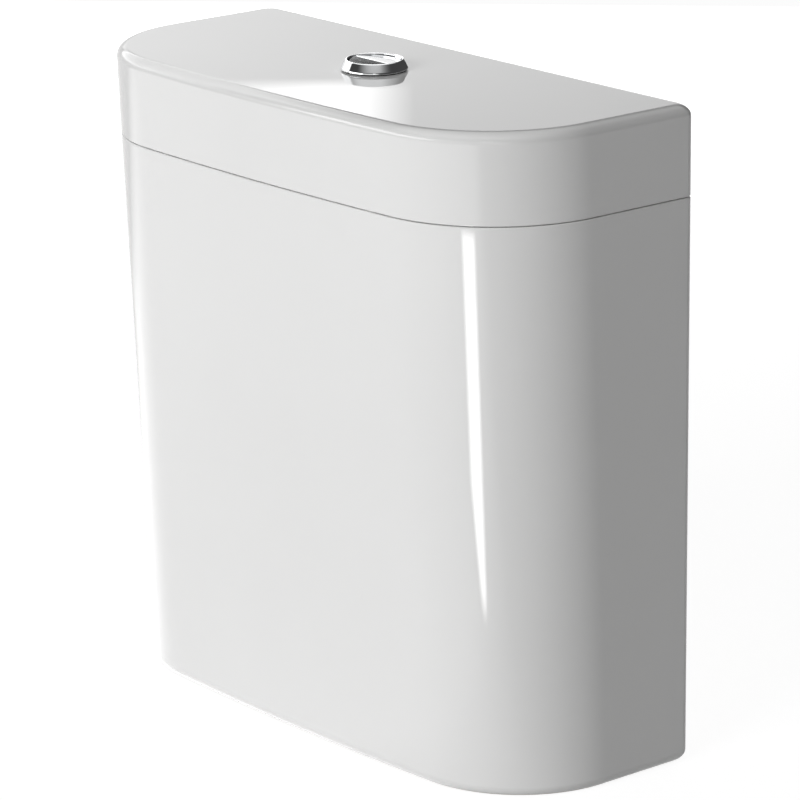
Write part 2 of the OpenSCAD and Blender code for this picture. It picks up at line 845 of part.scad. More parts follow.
// Post and shelf seen from the front, with the post's outer face at x = 0, up from foot_z.
module lift_post(foot_z) {
    translate([0, foot_z]) square([post_t, shelf_z + shelf_t - foot_z]);
    translate([0, shelf_z]) square([shelf_len, shelf_t]);
}

// Clamp on the overflow tube with the arm, post and shelf that the full-flush lever lifts.
module lift_yoke() {
    clamp_r = tube_r + 3;
    arm_h = 6;
    color("steelblue") {
        at_valve() tube(tube_r + pin_clear, clamp_r, yoke_arm_z, yoke_arm_z + yoke_h);
        for_side(1) difference() {
            translate([-post_out, rod_y + arm_w / 2, 0]) rotate([90, 0, 0]) linear_extrude(arm_w) {
                lift_post(yoke_arm_z);
                translate([0, yoke_arm_z]) square([post_out, arm_h]);
            }
            rod(tube_r + 1, yoke_arm_z - past, yoke_arm_z + yoke_h + past);
            translate([0, -post_out, yoke_arm_z - past]) cube([post_out, 2 * post_out, yoke_h + 2 * past]);
        }
    }
}

module tube_float() {
    z0 = base_top_z + 8;
    z1 = z0 + float_h;
    hub_r = tube_r + seat_clear;
    skin = 2;
    color("lightgray") at_valve() rotate_extrude() polygon([
        [hub_r, z0], [hub_r + skin, z0], [hub_r + skin, z1 - skin], [float_d / 2 - skin, z1 - skin - 4],
        [float_d / 2 - skin, z0], [float_d / 2, z0], [float_d / 2, z1 - 4], [hub_r + skin + 2, z1],
        [hub_r, z1]
    ]);
}

module float_clip() {
    z0 = base_top_z + 8 + float_h;
    color("steelblue") at_valve() tube(tube_r + pin_clear, tube_r + 4, z0, z0 + 5);
}

module main_seal() {
    color("firebrick") at_valve() tube(tube_r + pin_clear, seal_d / 2, seat_z, seat_z + seal_t);
}

module seal_retainer() {
    retainer_w = 1.5 * retainer_h;
    color("white") at_valve() tube(tube_r + pin_clear, tube_r + retainer_w, seat_z - retainer_h, seat_z);
}

module half_link() {
    color("seagreen") for_side(-1)
        translate([-post_out, rod_y + arm_w / 2, 0]) rotate([90, 0, 0]) linear_extrude(arm_w)
            lift_post(half_float_z + half_float_h);
}

// Flat outline from x0 to x1, of width w, with its two far corners rounded by r.
module round_nosed(x0, x1, w, r) {
    translate([x0, -w / 2]) square([x1 - x0 - r, w]);
    translate([x0, -w / 2 + r]) square([x1 - x0, w - 2 * r]);
    for (y = [r - w / 2, w / 2 - r]) translate([x1 - r, y]) circle(r = r);
}

// Open-bottomed float that slides on the cage's rail.
module half_float() {
    skin = 2;
    nose_round = 7;
    float_x = cage_r + 1;
    chamber_x = rail_out + slide_clear + 2 * skin;
    color("seagreen") at_valve() translate([0, -rod_y, half_float_z]) difference() {
        linear_extrude(half_float_h) round_nosed(float_x, half_float_out, half_float_w, nose_round);
        translate([0, 0, -past]) linear_extrude(half_float_h - skin + past)
            round_nosed(chamber_x, half_float_out - skin, half_float_w - 2 * skin, nose_round - skin);
        translate([0, -rail_w / 2 - slide_clear, -past])
            cube([rail_out + slide_clear, rail_w + 2 * slide_clear, half_float_h + 2 * past]);
        translate([0, rod_y, -past]) cylinder(r = float_x, h = half_float_h + 2 * past);
    }
}

// Fill valve

module inlet_shank() {
    thread_r = inlet_d / 2;
    bore_r = inlet_bore / 2;
    groove_z = recess_depth - lock_nut_h - relief_w;
    color("white") at_fill() rotate_extrude() polygon([
        [bore_r, inlet_above_foot], [thread_r, inlet_above_foot], [thread_r, groove_z],
        [thread_r - 0.8, groove_z], [thread_r - 0.8, groove_z + relief_w], [thread_r, groove_z + relief_w],
        [thread_r, inlet_flange_z], [inlet_flange_d / 2, inlet_flange_z],
        [inlet_flange_d / 2, riser_z], [bore_r, riser_z]
    ]);
}

module inlet_washer() {
    color("dimgray") at_fill() tube(inlet_d / 2 + slide_clear, inlet_flange_d / 2, floor_z, inlet_flange_z);
}

// Six-sided nut with a round flange against the floor.
module inlet_lock_nut() {
    flange = 2;
    z0 = recess_depth - lock_nut_h;
    color("white") at_fill() difference() {
        union() {
            translate([0, 0, z0]) cylinder(d = lock_nut_d, h = lock_nut_h - flange / 2, $fn = 6);
            rod(lock_nut_d / 2 + flange, recess_depth - flange, recess_depth);
        }
        rod(inlet_d / 2 + seat_clear, z0 - past, recess_depth + past);
    }
}

// Thimble filter pushed up into the inlet, with slots in its side.
module inlet_strainer() {
    r = inlet_bore / 2 - seat_clear;
    z0 = inlet_above_foot + 1;
    z1 = recess_depth - lock_nut_h;
    color("lightgray") at_fill() difference() {
        rod(r, z0, z1);
        rod(r - 1.2, z0 - past, z1 - 2);
        for (a = [0, 60, 120]) rotate([0, 0, a])
            translate([-inlet_bore, -0.6, z0 + 3]) cube([2 * inlet_bore, 1.2, z1 - z0 - 8]);
    }
}

// Riser with grooves that the lock ring snaps into when the height is set.
module riser_tube() {
    grooves = 9;
    pitch = 8;
    groove_w = 3;
    groove_t = 0.8;
    in_r = inlet_bore / 2 + 2;
    out_r = riser_d / 2;
    low = fill_sleeve_z - lock_ring_h - grooves * pitch;
    color("white") at_fill() difference() {
        tube(in_r, out_r, riser_z, riser_z + riser_h);
        for (k = [0 : grooves - 1])
            tube(out_r - groove_t, out_r + past, low + k * pitch, low + k * pitch + groove_w);
    }
}

module riser_sleeve() {
    in_r = riser_d / 2 + seat_clear;
    out_r = fill_sleeve_d / 2;
    stop_r = out_r + 3;
    color("white") at_fill() rotate_extrude() polygon([
        [in_r, fill_sleeve_z], [out_r, fill_sleeve_z], [out_r, cup_z - 4], [stop_r, cup_z - 3],
        [stop_r, cup_z], [out_r, cup_z], [out_r, fill_sleeve_top_z], [in_r, fill_sleeve_top_z]
    ]);
}

module riser_lock_ring() {
    ring_d = fill_sleeve_d + 8;
    z0 = fill_sleeve_z - lock_ring_h;
    color("steelblue") at_fill() difference() {
        rod(ring_d / 2, z0, fill_sleeve_z);
        rod(riser_d / 2 + seat_clear, z0 - past, fill_sleeve_z + past);
        for (a = [0 : 30 : 359]) rotate([0, 0, a])
            translate([ring_d / 2 + 0.6, 0, 0]) rod(1.6, z0 - past, fill_sleeve_z + past);
    }
}

// Valve head: round body with a waterway, a pocket for the diaphragm and an arm to the silencer.
module fill_head() {
    z0 = fill_sleeve_top_z;
    arm_d = silencer_d;
    socket_r = silencer_d / 2 + 2;
    chamfer = 4;
    color("white") at_fill() difference() {
        union() {
            rotate_extrude() polygon([
                [0, z0], [head_d / 2 - chamfer, z0], [head_d / 2, z0 + chamfer], [head_d / 2, head_top_z],
                [0, head_top_z]
            ]);
            translate([0, 0, z0 + head_h / 2]) rotate([90, 0, 0]) cylinder(d = arm_d, h = silencer_y);
            translate([0, -silencer_y, 0]) rod(socket_r, z0 - socket_drop, z0 + head_h - 2);
        }
        rod(pocket_r, head_top_z - diaphragm_t, head_top_z + past);
        rod(inlet_bore / 2, z0 - past, head_top_z);
        translate([0, -silencer_y, 0])
            rod(silencer_d / 2 + seat_clear, z0 - socket_drop - past, z0 + socket_depth);
    }
}

// Cap with the raised pilot seat in its middle and the two ears that carry the float lever.
module head_cap() {
    ear_w = 9;
    ear_y = float_lever_w / 2 + ear_gap + float_ear_t;
    cap_r = head_d / 2 + 1;
    pilot_r = 3;
    pilot_bore_r = 1;
    grip_r = 1.6;
    z0 = head_top_z;
    z1 = head_top_z + cap_h;
    color("white") at_fill() {
        difference() {
            union() {
                rod(cap_r, z0, z1);
                rod(pilot_r, z1 - 0.5, z1 + pilot_h);
            }
            rod(pilot_bore_r, z0 - past, z1 + pilot_h + past);
            for (a = [0 : 20 : 359]) rotate([0, 0, a])
                translate([cap_r + grip_r / 2, 0, 0]) rod(grip_r, z0 - past, z1 + past);
        }
        for (y = [ear_y, float_ear_t - ear_y])
            translate([float_pivot_x, y, 0]) rotate([90, 0, 0]) linear_extrude(float_ear_t) difference() {
                union() {
                    translate([-ear_w / 2, z1 - 0.5]) square([ear_w, float_pivot_z - z1 + 0.5]);
                    translate([0, float_pivot_z]) circle(d = ear_w);
                }
                translate([0, float_pivot_z]) circle(r = float_pin_d / 2 + pin_clear);
            }
    }
}

module diaphragm() {
    color("dimgray") at_fill() rod(pocket_r - seat_clear, head_top_z - diaphragm_t, head_top_z);
}

// Cup round the sleeve, closed by its own lid, with the bracket that holds the level screw.
module float_cup() {
    hub_r = cup_bore_r + cup_wall;
    r = cup_d / 2;
    rim_z = cup_top_z - cup_lid_t;
    chamfer = cup_wall;
    bracket_w = 10;
    past_screw = 5;
    color("aliceblue") at_fill() {
        rotate_extrude() polygon([
            [cup_bore_r, cup_z], [r - chamfer, cup_z], [r, cup_z + chamfer], [r, rim_z],
            [r - cup_wall, rim_z], [r - cup_wall, cup_z + cup_wall],
            [hub_r, cup_z + cup_wall], [hub_r, rim_z], [cup_bore_r, rim_z]
        ]);
        difference() {
            translate([r - 1, -bracket_w / 2, bracket_z])
                cube([screw_x - r + 1 + past_screw, bracket_w, bracket_h]);
            translate([screw_x, 0, 0])
                rod(screw_d / 2 + pin_clear, bracket_z - past, bracket_z + bracket_h + past);
        }
    }
}

module cup_lid() {
    color("aliceblue") at_fill() tube(cup_bore_r, cup_d / 2, cup_top_z - cup_lid_t, cup_top_z);
}

// Lever over the cap: short end over the pilot seat, long end forked round the level screw.
module float_lever() {
    long = screw_x - float_pivot_x;
    short = float_pivot_x + short_over;
    boss_d = float_pin_d + 5;
    fork_w = screw_d + 2.4;
    w = float_lever_w;
    t = float_lever_t;
    color("steelblue") at_fill() translate([float_pivot_x, 0, float_pivot_z])
        rotate([0, lever_rest, 0]) difference() {
            union() {
                translate([0, w / 2, 0]) rotate([90, 0, 0]) cylinder(d = boss_d, h = w);
                translate([-short, -w / 2, -t / 2]) cube([short + long + 6, w, t]);
            }
            translate([0, w, 0]) rotate([90, 0, 0]) cylinder(r = float_pin_d / 2 + pin_clear, h = 2 * w);
            translate([long, 0, 0]) cylinder(d = fork_w, h = 4 * t, center = true);
            translate([long, -fork_w / 2, -2 * t]) cube([long, fork_w, 4 * t]);
        }
}

module float_lever_pin() {
    half_len = float_lever_w / 2 + ear_gap + float_ear_t;
    color("silver") at_fill() translate([float_pivot_x, half_len, float_pivot_z])
        rotate([90, 0, 0]) cylinder(d = float_pin_d, h = 2 * half_len);
}

// Screw from the cup's bracket to the lever, with a collar on each side of the lever's fork.
module level_screw() {
    fork_z = float_pivot_z - (screw_x - float_pivot_x) * sin(lever_rest);
    collar_gap = float_lever_t / 2 + 1.2;
    collar_r = screw_d / 2 + 2;
    collar_t = 2;
    knob_h = 5;
    bracket_top = bracket_z + bracket_h;
    color("gold") at_fill() translate([screw_x, 0, 0]) {
        rod(screw_d / 2, bracket_z - 4, fork_z + collar_gap + knob_h / 2);
        rod(collar_r, bracket_top, bracket_top + collar_t);
        rod(collar_r, fork_z - collar_gap - collar_t, fork_z - collar_gap);
        translate([0, 0, fork_z + collar_gap]) cylinder(r = collar_r + 1, h = knob_h, $fn = 6);
    }
}

module silencer_tube() {
    top = fill_sleeve_top_z + socket_depth;
    silencer_wall = 1.5;
    color("lightgray") at_fill() translate([0, -silencer_y, 0])
        tube(silencer_d / 2 - silencer_wall, silencer_d / 2, top - silencer_h, top);
}

cistern_tank();
cistern_lid();
lid_buffers();
button_bezel();
bezel_gasket();
button_nut();
button_guide();
full_flush_button();
half_flush_button();
full_button_spring();
half_button_spring();
full_push_rod();
half_push_rod();
valve_base();
base_washer();
back_nut();
coupling_gasket();
lower_frame();
valve_cage();
cage_top();
lever_pins();
full_lever();
half_lever();
overflow_tube();
seal_carrier();
lift_yoke();
tube_float();
float_clip();
main_seal();
seal_retainer();
half_link();
half_float();
inlet_shank();
inlet_washer();
inlet_lock_nut();
inlet_strainer();
riser_tube();
riser_sleeve();
riser_lock_ring();
fill_head();
head_cap();
diaphragm();
float_cup();
cup_lid();
float_lever();
float_lever_pin();
level_screw();
silencer_tube();
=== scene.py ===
"""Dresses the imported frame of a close-coupled toilet cistern.

The ceramic tank and lid, the chrome push button and its springs are modelled here over
their solids. The valves inside keep their solids and get moulded and metal finishes.
Lengths are metres, in the frame of the solids: the front faces -Y and +Z is up.
"""

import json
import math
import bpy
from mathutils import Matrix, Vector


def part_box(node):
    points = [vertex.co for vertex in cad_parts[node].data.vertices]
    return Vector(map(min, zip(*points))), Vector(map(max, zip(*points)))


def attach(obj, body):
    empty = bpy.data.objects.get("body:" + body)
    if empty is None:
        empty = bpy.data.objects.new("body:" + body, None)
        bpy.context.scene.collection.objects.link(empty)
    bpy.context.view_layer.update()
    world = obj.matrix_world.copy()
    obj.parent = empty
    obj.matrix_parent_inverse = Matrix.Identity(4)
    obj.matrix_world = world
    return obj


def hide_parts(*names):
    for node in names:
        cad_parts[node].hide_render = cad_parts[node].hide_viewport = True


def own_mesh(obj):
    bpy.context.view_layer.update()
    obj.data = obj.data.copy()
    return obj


bl_info = {
    "name": "Close-coupled cistern",
    "version": (1, 0, 0),
    "blender": (4, 5, 0),
    "location": "View3D > Sidebar > Cistern",
    "description": "Glazed tank and lid, chrome dual-flush button and valve finishes",
    "category": "Object",
}

import bmesh
import bpy
from bpy.props import FloatProperty, FloatVectorProperty, IntProperty, PointerProperty
from mathutils import Quaternion, Vector

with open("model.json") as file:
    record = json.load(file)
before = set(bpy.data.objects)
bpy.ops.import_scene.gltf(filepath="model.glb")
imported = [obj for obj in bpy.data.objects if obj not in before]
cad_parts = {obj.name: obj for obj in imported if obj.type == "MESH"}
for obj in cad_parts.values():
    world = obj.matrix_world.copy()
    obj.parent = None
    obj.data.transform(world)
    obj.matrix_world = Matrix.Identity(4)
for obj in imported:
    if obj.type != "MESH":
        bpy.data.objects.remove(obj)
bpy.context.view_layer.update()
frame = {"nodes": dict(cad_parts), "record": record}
NODES = frame["nodes"]
SLOT_OF = {row["node"]: row["material_slot"] for row in frame["record"]["subparts"]}

TANK_LOW, TANK_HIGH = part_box("cistern_tank")
LID_LOW, LID_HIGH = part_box("cistern_lid")
BEZEL_LOW, BEZEL_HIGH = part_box("button_bezel")
GASKET_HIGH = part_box("bezel_gasket")[1]
BUFFER_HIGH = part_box("lid_buffers")[1]
FULL_LOW, FULL_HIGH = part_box("full_flush_button")
HALF_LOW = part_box("half_flush_button")[0]
INLET_LOW, INLET_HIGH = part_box("inlet_shank")

BACK_Y = TANK_HIGH.y
VALVE_Y = (BEZEL_LOW.y + BEZEL_HIGH.y) / 2
INLET_X = (INLET_LOW.x + INLET_HIGH.x) / 2
INLET_Y = (INLET_LOW.y + INLET_HIGH.y) / 2
WHITE = (1, 1, 1, 1)


def length(label, words, value):
    return FloatProperty(
        name=label, description=words, default=value,
        unit="LENGTH", subtype="DISTANCE", precision=5,
    )


def angle(label, words, degrees):
    return FloatProperty(
        name=label, description=words, default=math.radians(degrees),
        unit="ROTATION", subtype="ANGLE",
    )


def count(label, words, value, least):
    return IntProperty(name=label, description=words, default=value, min=least)


def number(label, words, value):
    return FloatProperty(name=label, description=words, default=value, min=0)


def power(label, words, watts):
    return FloatProperty(name=label, description=words, default=watts, unit="POWER", min=0)


def colour(label, words, value):
    return FloatVectorProperty(
        name=label, description=words, default=value, subtype="COLOR", size=3, min=0, max=1
    )


class CisternSizes(bpy.types.PropertyGroup):
    """Sizes of the ceramic and of the push button."""

    width: length("Width", "Width of tank and lid", TANK_HIGH.x - TANK_LOW.x)
    height: length("Height", "Height from the foot rim to the lid's top", LID_HIGH.z)
    depth_top: length("Depth at the top", "Front-to-back depth at the lid's top", 0.168)
    depth_base: length("Depth at the base", "Front-to-back depth at the foot rim", 0.147)
    corner_top: length("Corner at the top", "Radius of the front corners at the lid's top", 0.084)
    corner_base: length("Corner at the base", "Radius of the front corners at the foot rim", 0.077)
    bow: length("Bow", "Radius of the slight bow of the front", 2.27)
    back_corner: length("Back corner", "Radius of the upright edges at the wall", 0.006)
    base_round: length("Base rounding", "Rounding under the tank's outer edge", 0.007)
    foot_round: length("Foot rounding", "Rounding on the inner edge of the foot rim", 0.002)
    lid_round: length("Lid rounding", "Rounding around the lid's top edge", 0.007)
    seam_round: length("Seam rounding", "Rounding on both sides of the seam", 0.0008)
    seam_height: length("Seam height", "Height of the tank's rim", TANK_HIGH.z)
    lid_edge: length("Lid edge", "Height of the lid's lower edge", BUFFER_HIGH.z)
    wall: length("Tank wall", "Thickness of the tank's wall", 0.009)
    foot_wall: length("Foot wall", "Distance from the outside to the hollow under the floor", 0.015)
    recess: length("Recess", "Depth of the hollow under the floor", 0.040)
    floor: length("Floor", "Thickness of the tank's floor", 0.012)
    fillet: length("Fillet", "Fillet inside the tank and the lid", 0.010)
    lid_wall: length("Lid skirt", "Thickness of the lid's skirt", 0.012)
    lid_top: length("Lid top", "Thickness of the lid's top", 0.009)
    lug_width: length("Lug width", "Width of the lid's locating lugs", 0.046)
    lug_wall: length("Lug thickness", "Thickness of the lid's locating lugs", 0.006)
    lug_inset: length("Lug inset", "Distance of the lugs from the outside", 0.011)
    lug_place: length("Lug place", "Distance of the lugs from the middle, to the sides", 0.096)
    outlet_hole: length("Outlet hole", "Radius of the hole for the flush valve", 0.0306)
    inlet_hole: length("Inlet hole", "Radius of the hole for the fill valve", 0.0091)
    bolt_hole: length("Bolt holes", "Radius of the two holes for the pan bolts", 0.006)
    bolt_pitch: length("Bolt pitch", "Distance between the pan bolts", 0.150)
    button_hole: length("Button hole", "Radius of the hole in the lid", 0.0181)
    bezel_radius: length("Bezel", "Outer radius of the bezel", (BEZEL_HIGH.x - BEZEL_LOW.x) / 2)
    bezel_upstand: length("Bezel upstand", "Height of the bezel's upright edge", 0.0008)
    bezel_lip: length("Bezel lip", "Rounding of the bezel's upper edge", 0.0008)
    sleeve_radius: length("Sleeve", "Radius of the threaded sleeve", 0.0173)
    sleeve_bore: length("Sleeve bore", "Radius of the sleeve's bore", 0.0161)
    thread_pitch: length("Sleeve thread", "Distance between the ridges on the sleeve", 0.002)
    thread_depth: length("Sleeve thread depth", "Depth of the grooves in the sleeve", 0.0006)
    button_radius: length("Buttons", "Radius of the disc that the two buttons share", 0.0158)
    button_thickness: length("Button thickness", "Thickness of the disc at its edge", 0.005)
    button_edge: length("Button edge", "Rounding of the buttons' edges", 0.0005)
    split: length("Split", "Distance of the split in front of the button's middle", 0.002)
    split_gap: length("Split gap", "Gap between the two buttons", 0.0008)
    full_slope: angle("Large slope", "Slope of the large button, from the split to the back", 5)
    half_slope: angle("Small slope", "Slope of the small button, from the split to the front", 8)
    stem_radius: length("Stem", "Radius of the stem under each button", 0.003)
    stem_side: length("Stem aside", "Distance of the stems from the middle, to the sides", 0.005)
    stem_back: length("Stem behind", "Distance of the stems from the middle, front to back", 0.008)
    spring_wire: length("Spring wire", "Thickness of the springs' wire", 0.0009)
    spring_turns: count("Spring turns", "Turns of each spring", 6, 2)
    press: length("Press", "Travel of the buttons", 0.008)
    corner_steps: count("Corner steps", "Steps round each front corner", 40, 8)


class CisternColours(bpy.types.PropertyGroup):
    """Colours of the finishes."""

    glaze: colour("Glaze", "White glaze of the ceramic", (0.83, 0.83, 0.825))
    bisque: colour("Unglazed rim", "Bare ceramic under the foot rim", (0.66, 0.62, 0.55))
    chrome: colour("Chrome", "Plated bezel and buttons", (0.78, 0.79, 0.80))
    white: colour("White plastic", "Moulded valve bodies", (0.76, 0.76, 0.73))
    blue: colour("Blue plastic", "Full-flush pieces", (0.035, 0.13, 0.36))
    green: colour("Green plastic", "Half-flush pieces", (0.03, 0.24, 0.11))
    float_grey: colour("Float plastic", "Floats and thin tubes", (0.53, 0.60, 0.66))
    rubber: colour("Rubber", "Seals and washers", (0.018, 0.018, 0.019))
    buffer: colour("Buffer", "Soft pads under the lid", (0.52, 0.52, 0.5))
    silicone: colour("Silicone", "Seal of the flush valve", (0.36, 0.03, 0.02))
    steel: colour("Steel", "Springs and pins", (0.52, 0.53, 0.54))
    brass: colour("Brass", "Level screw", (0.62, 0.42, 0.15))


class CisternStage(bpy.types.PropertyGroup):
    """Camera and studio light. Azimuth 0 is straight in front, and 90 degrees is on +X."""

    view_azimuth: angle("View azimuth", "Side that the camera stands on", 50.338)
    view_elevation: angle("View elevation", "Height of the camera, as an angle", 16.381)
    view_roll: angle("View roll", "Turn of the picture", -0.565)
    view_distance: length("View distance", "Distance of the camera from its aim", 2.66507)
    aim_side: length("Aim aside", "Place of the camera's aim along X", 0.0288)
    aim_height: length("Aim height", "Height of the camera's aim", 0.20348)
    lens: number("Lens", "Focal length, mm on a 36 mm sensor", 200.02)
    key_power: power("Key", "Large soft lamp in front", 173.0)
    back_power: power("Back", "Low soft lamp behind, for the back and the left side", 28.0)
    strip_power: power("Strip", "Upright strip that is mirrored in the front corner", 0.5)
    panel_power: power("Panel", "Panel behind that is mirrored in the lid's top", 0.06)
    backdrop_power: power("Backdrop", "Wide panel far behind that brightens the lid's top", 1.395)
    edge_power: power("Edge", "Long lamp that draws a line along the lid's edge", 4.0)
    side_power: power("Side", "Panel on the left, mirrored in the rounding of the lid's edge", 3.6)
    glint_power: power("Glint", "Small lamp that draws a short line on the lid's corner", 0.1)
    sweep_power: power("Sweep", "Lit floor in front that is mirrored in the tank's front", 29.4)
    ambient: number("Ambient", "Grey light from all round", 0.2)
    horizon: angle("Horizon", "Height up to which mirrors show the white background", 12)
    dusk: angle("Dusk", "Height above which mirrors show the ceiling", 22)
    dim_start: number("Dim from", "Share of the way to the right where mirrors darken", 0.12)
    dim_end: number("Dim to", "Share where the low part is darkest and the skylight fades", 0.3)
    ceiling: number("Ceiling", "Brightness of the ceiling, in mirrors", 0.06)
    skylight: angle("Skylight", "Height above which the ceiling brightens, in mirrors", 32)
    zenith: angle("Zenith", "Height above which it is at its brightest, in mirrors", 58)
    overhead: number("Overhead", "Brightness at the zenith, in mirrors", 1.5)
    floor_grey: colour("Floor", "Pale floor under the cistern", (0.45, 0.45, 0.45))
    floor_seen: colour("Floor in view", "The floor as camera and mirrors see it", (0.2, 0.2, 0.2))
    floor_glow: number("Floor glow", "What the floor's view gains, so that it is white", 0.915)


# Modelling by hand


def deselect():
    if bpy.context.mode != "OBJECT":
        bpy.ops.object.mode_set(mode="OBJECT")
    bpy.ops.object.select_all(action="DESELECT")


def only(piece):
    """Select one piece and nothing else."""
    deselect()
    piece.select_set(True)
    bpy.context.view_layer.objects.active = piece
    return piece


def named(name):
    """Name the primitive that was just added."""
    piece = bpy.context.object
    piece.name = name
    piece.data.name = name
    return piece


def edit(piece):
    """Open a piece in edit mode, with nothing selected."""
    only(piece)
    bpy.ops.object.mode_set(mode="EDIT")
    bpy.ops.mesh.select_mode(type="VERT")
    bpy.ops.mesh.select_all(action="DESELECT")
    return bmesh.from_edit_mesh(piece.data)


def modify(piece, kind, **settings):
    """Add a modifier and apply it at once."""
    only(piece)
    modifier = piece.modifiers.new(kind.title(), kind)
    for key, value in settings.items():
        setattr(modifier, key, value)
    bpy.ops.object.modifier_apply(modifier=modifier.name)


def settle(piece):
    """Put the object back at the origin, with its place in its mesh."""
    only(piece)
    bpy.ops.object.transform_apply(location=True, rotation=True, scale=True)
    return piece


def close_up(piece, reach=1e-6):
    """Merge doubles and turn the faces outwards."""
    edit(piece)
    bpy.ops.mesh.select_all(action="SELECT")
    bpy.ops.mesh.remove_doubles(threshold=reach)
    bpy.ops.mesh.normals_make_consistent(inside=False)
    bpy.ops.object.mode_set(mode="OBJECT")
    return piece


def smooth(piece, degrees=32):
    """Shade smoothly, except over edges that turn by more than the angle."""
    only(piece)
    bpy.ops.object.shade_smooth_by_angle(angle=math.radians(degrees))
    modify(piece, "WEIGHTED_NORMAL", mode="FACE_AREA", weight=60, keep_sharp=True)
    return piece


def combine(piece, other, operation):
    """Unite with, cut by or keep only what is shared with a second shape, which is used up."""
    modify(piece, "BOOLEAN", operation=operation, solver="EXACT", object=other)
    bpy.data.objects.remove(other)
    return piece


def rod(name, x, y, radius, low, high, sides=96):
    """An upright round bar, as a start or as a cutter."""
    deselect()
    bpy.ops.mesh.primitive_cylinder_add(
        vertices=sides, radius=radius, depth=high - low, location=(x, y, (low + high) / 2)
    )
    return settle(named(name))


def drill(piece, x, y, radius, low, high):
    """Cut an upright round hole."""
    combine(piece, rod("bit", x, y, radius, low, high), "DIFFERENCE")


def turned(name, profile, x, y, steps=96):
    """Spin a closed profile of (radius, height) points round an upright axis."""
    deselect()
    bpy.ops.mesh.primitive_circle_add(
        vertices=len(profile), radius=profile[0][0], fill_type="NOTHING"
    )
    piece = named(name)
    mesh = edit(piece)
    for vert, (radius, z) in zip(mesh.verts, profile):
        vert.co = (x + radius, y, z)
    bmesh.update_edit_mesh(piece.data)
    bpy.ops.mesh.select_all(action="SELECT")
    bpy.ops.mesh.spin(steps=steps, angle=2 * math.pi, center=(x, y, 0), axis=(0, 0, 1))
    return close_up(piece)


def dress(piece, slot, body, *stands_for):
    """Give a finished piece its material and its body."""
    piece.data.materials.clear()
    piece.data.materials.append(finish(slot))
    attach(piece, body)
    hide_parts(*stands_for)
    return piece


# The D-shaped plan


def arc(cx, cy, radius, start, end, steps, first=0, last=0):
    """Points on an arc. first and last leave out that many points at its ends."""
    turn = (end - start) / steps
    return [
        (cx + radius * math.cos(start + turn * k), cy + radius * math.sin(start + turn * k))
        for k in range(first, steps + 1 - last)
    ]


def plan(sizes, z, inset, back_corner):
    """Outline at height z: bowed front, two large front corners, flat sides and back."""
    share = z / sizes.height
    depth = sizes.depth_base + (sizes.depth_top - sizes.depth_base) * share
    corner = sizes.corner_base + (sizes.corner_top - sizes.corner_base) * share
    half = sizes.width / 2
    bow_y = BACK_Y - depth + sizes.bow
    cx = half - corner
    cy = bow_y - math.sqrt((sizes.bow - corner) ** 2 - cx * cx)
    turn = math.atan2(cy - bow_y, cx)
    bx = half - inset - back_corner
    by = BACK_Y - inset - back_corner
    steps = sizes.corner_steps
    return (
        arc(0, bow_y, sizes.bow - inset, -math.pi - turn, turn, steps // 2)
        + arc(cx, cy, corner - inset, turn, 0, steps, first=1)
        + arc(bx, by, back_corner, 0, math.pi / 2, steps=8)
        + arc(-bx, by, back_corner, math.pi / 2, math.pi, steps=8)
        + arc(-cx, cy, corner - inset, math.pi, math.pi - turn, steps, last=1)
    )


def rounding(z, inset, radius, up, outwards=1, steps=8):
    """Rows (height, inset) of a quarter round, from the upright wall to the level face at z.

    up is 1 where the level face lies above the wall, and -1 where it lies below. The level face
    lies further in than the wall where outwards is 1, and further out where it is -1.
    """
    quarter = [math.pi / 2 * k / steps for k in range(steps + 1)]
    return [
        (z - up * radius * (1 - math.sin(a)), inset + outwards * radius * (1 - math.cos(a)))
        for a in quarter
    ]


def through_rings(name, sizes, rows):
    """Extrude one cap through the rows (height, inset, back corner) into a closed shell."""
    outlines = [
        [(x, y, z) for x, y in plan(sizes, z, inset, back)] for z, inset, back in rows
    ]
    deselect()
    bpy.ops.mesh.primitive_circle_add(
        vertices=len(outlines[0]), radius=sizes.width / 2, fill_type="NGON"
    )
    piece = named(name)
    edit(piece).verts.layers.int.new("place")
    bpy.ops.mesh.select_all(action="SELECT")
    for row, outline in enumerate(outlines):
        if row:
            bpy.ops.mesh.extrude_region_move()
        mesh = bmesh.from_edit_mesh(piece.data)
        place = mesh.verts.layers.int["place"]
        if not row:
            for step, vert in enumerate(mesh.verts):
                vert[place] = step
        for vert in mesh.verts:
            if vert.select:
                vert.co = outline[vert[place]]
        bmesh.update_edit_mesh(piece.data)
    bpy.ops.object.mode_set(mode="OBJECT")
    piece.data.attributes.remove(piece.data.attributes["place"])
    return close_up(piece)


def with_back(rows, back_corner):
    """Give rows (height, inset) the radius of their upright edges at the wall."""
    return [(z, inset, back_corner) for z, inset in rows]


# Finishes


def link(tree, value, socket):
    """Join a node's output to a socket, or set the socket to a plain value."""
    if isinstance(value, bpy.types.NodeSocket):
        tree.links.new(value, socket)
    else:
        socket.default_value = value


def add(tree, kind, values, **settings):
    node = tree.nodes.new(kind)
    for key, value in settings.items():
        setattr(node, key, value)
    for key, value in values.items():
        link(tree, value, node.inputs[key])
    return node


def blank(name, socket, value):
    """A new material, with one plain value on its shader's own socket."""
    material = bpy.data.materials.new(name)
    material.use_nodes = True
    shader = material.node_tree.nodes["Principled BSDF"]
    shader.inputs[socket].default_value = value
    return material, material.node_tree, shader


def grain(tree, scale, detail=2.0, stretch=(1.0, 1.0, 1.0)):
    """Noise in the piece's own space. scale is in waves per metre."""
    place = add(tree, "ShaderNodeTexCoord", {})
    mapped = add(tree, "ShaderNodeMapping", {"Vector": place.outputs["Object"], "Scale": stretch})
    noise = add(
        tree,
        "ShaderNodeTexNoise",
        {"Vector": mapped.outputs["Vector"], "Scale": scale, "Detail": detail},
    )
    return noise.outputs["Fac"]


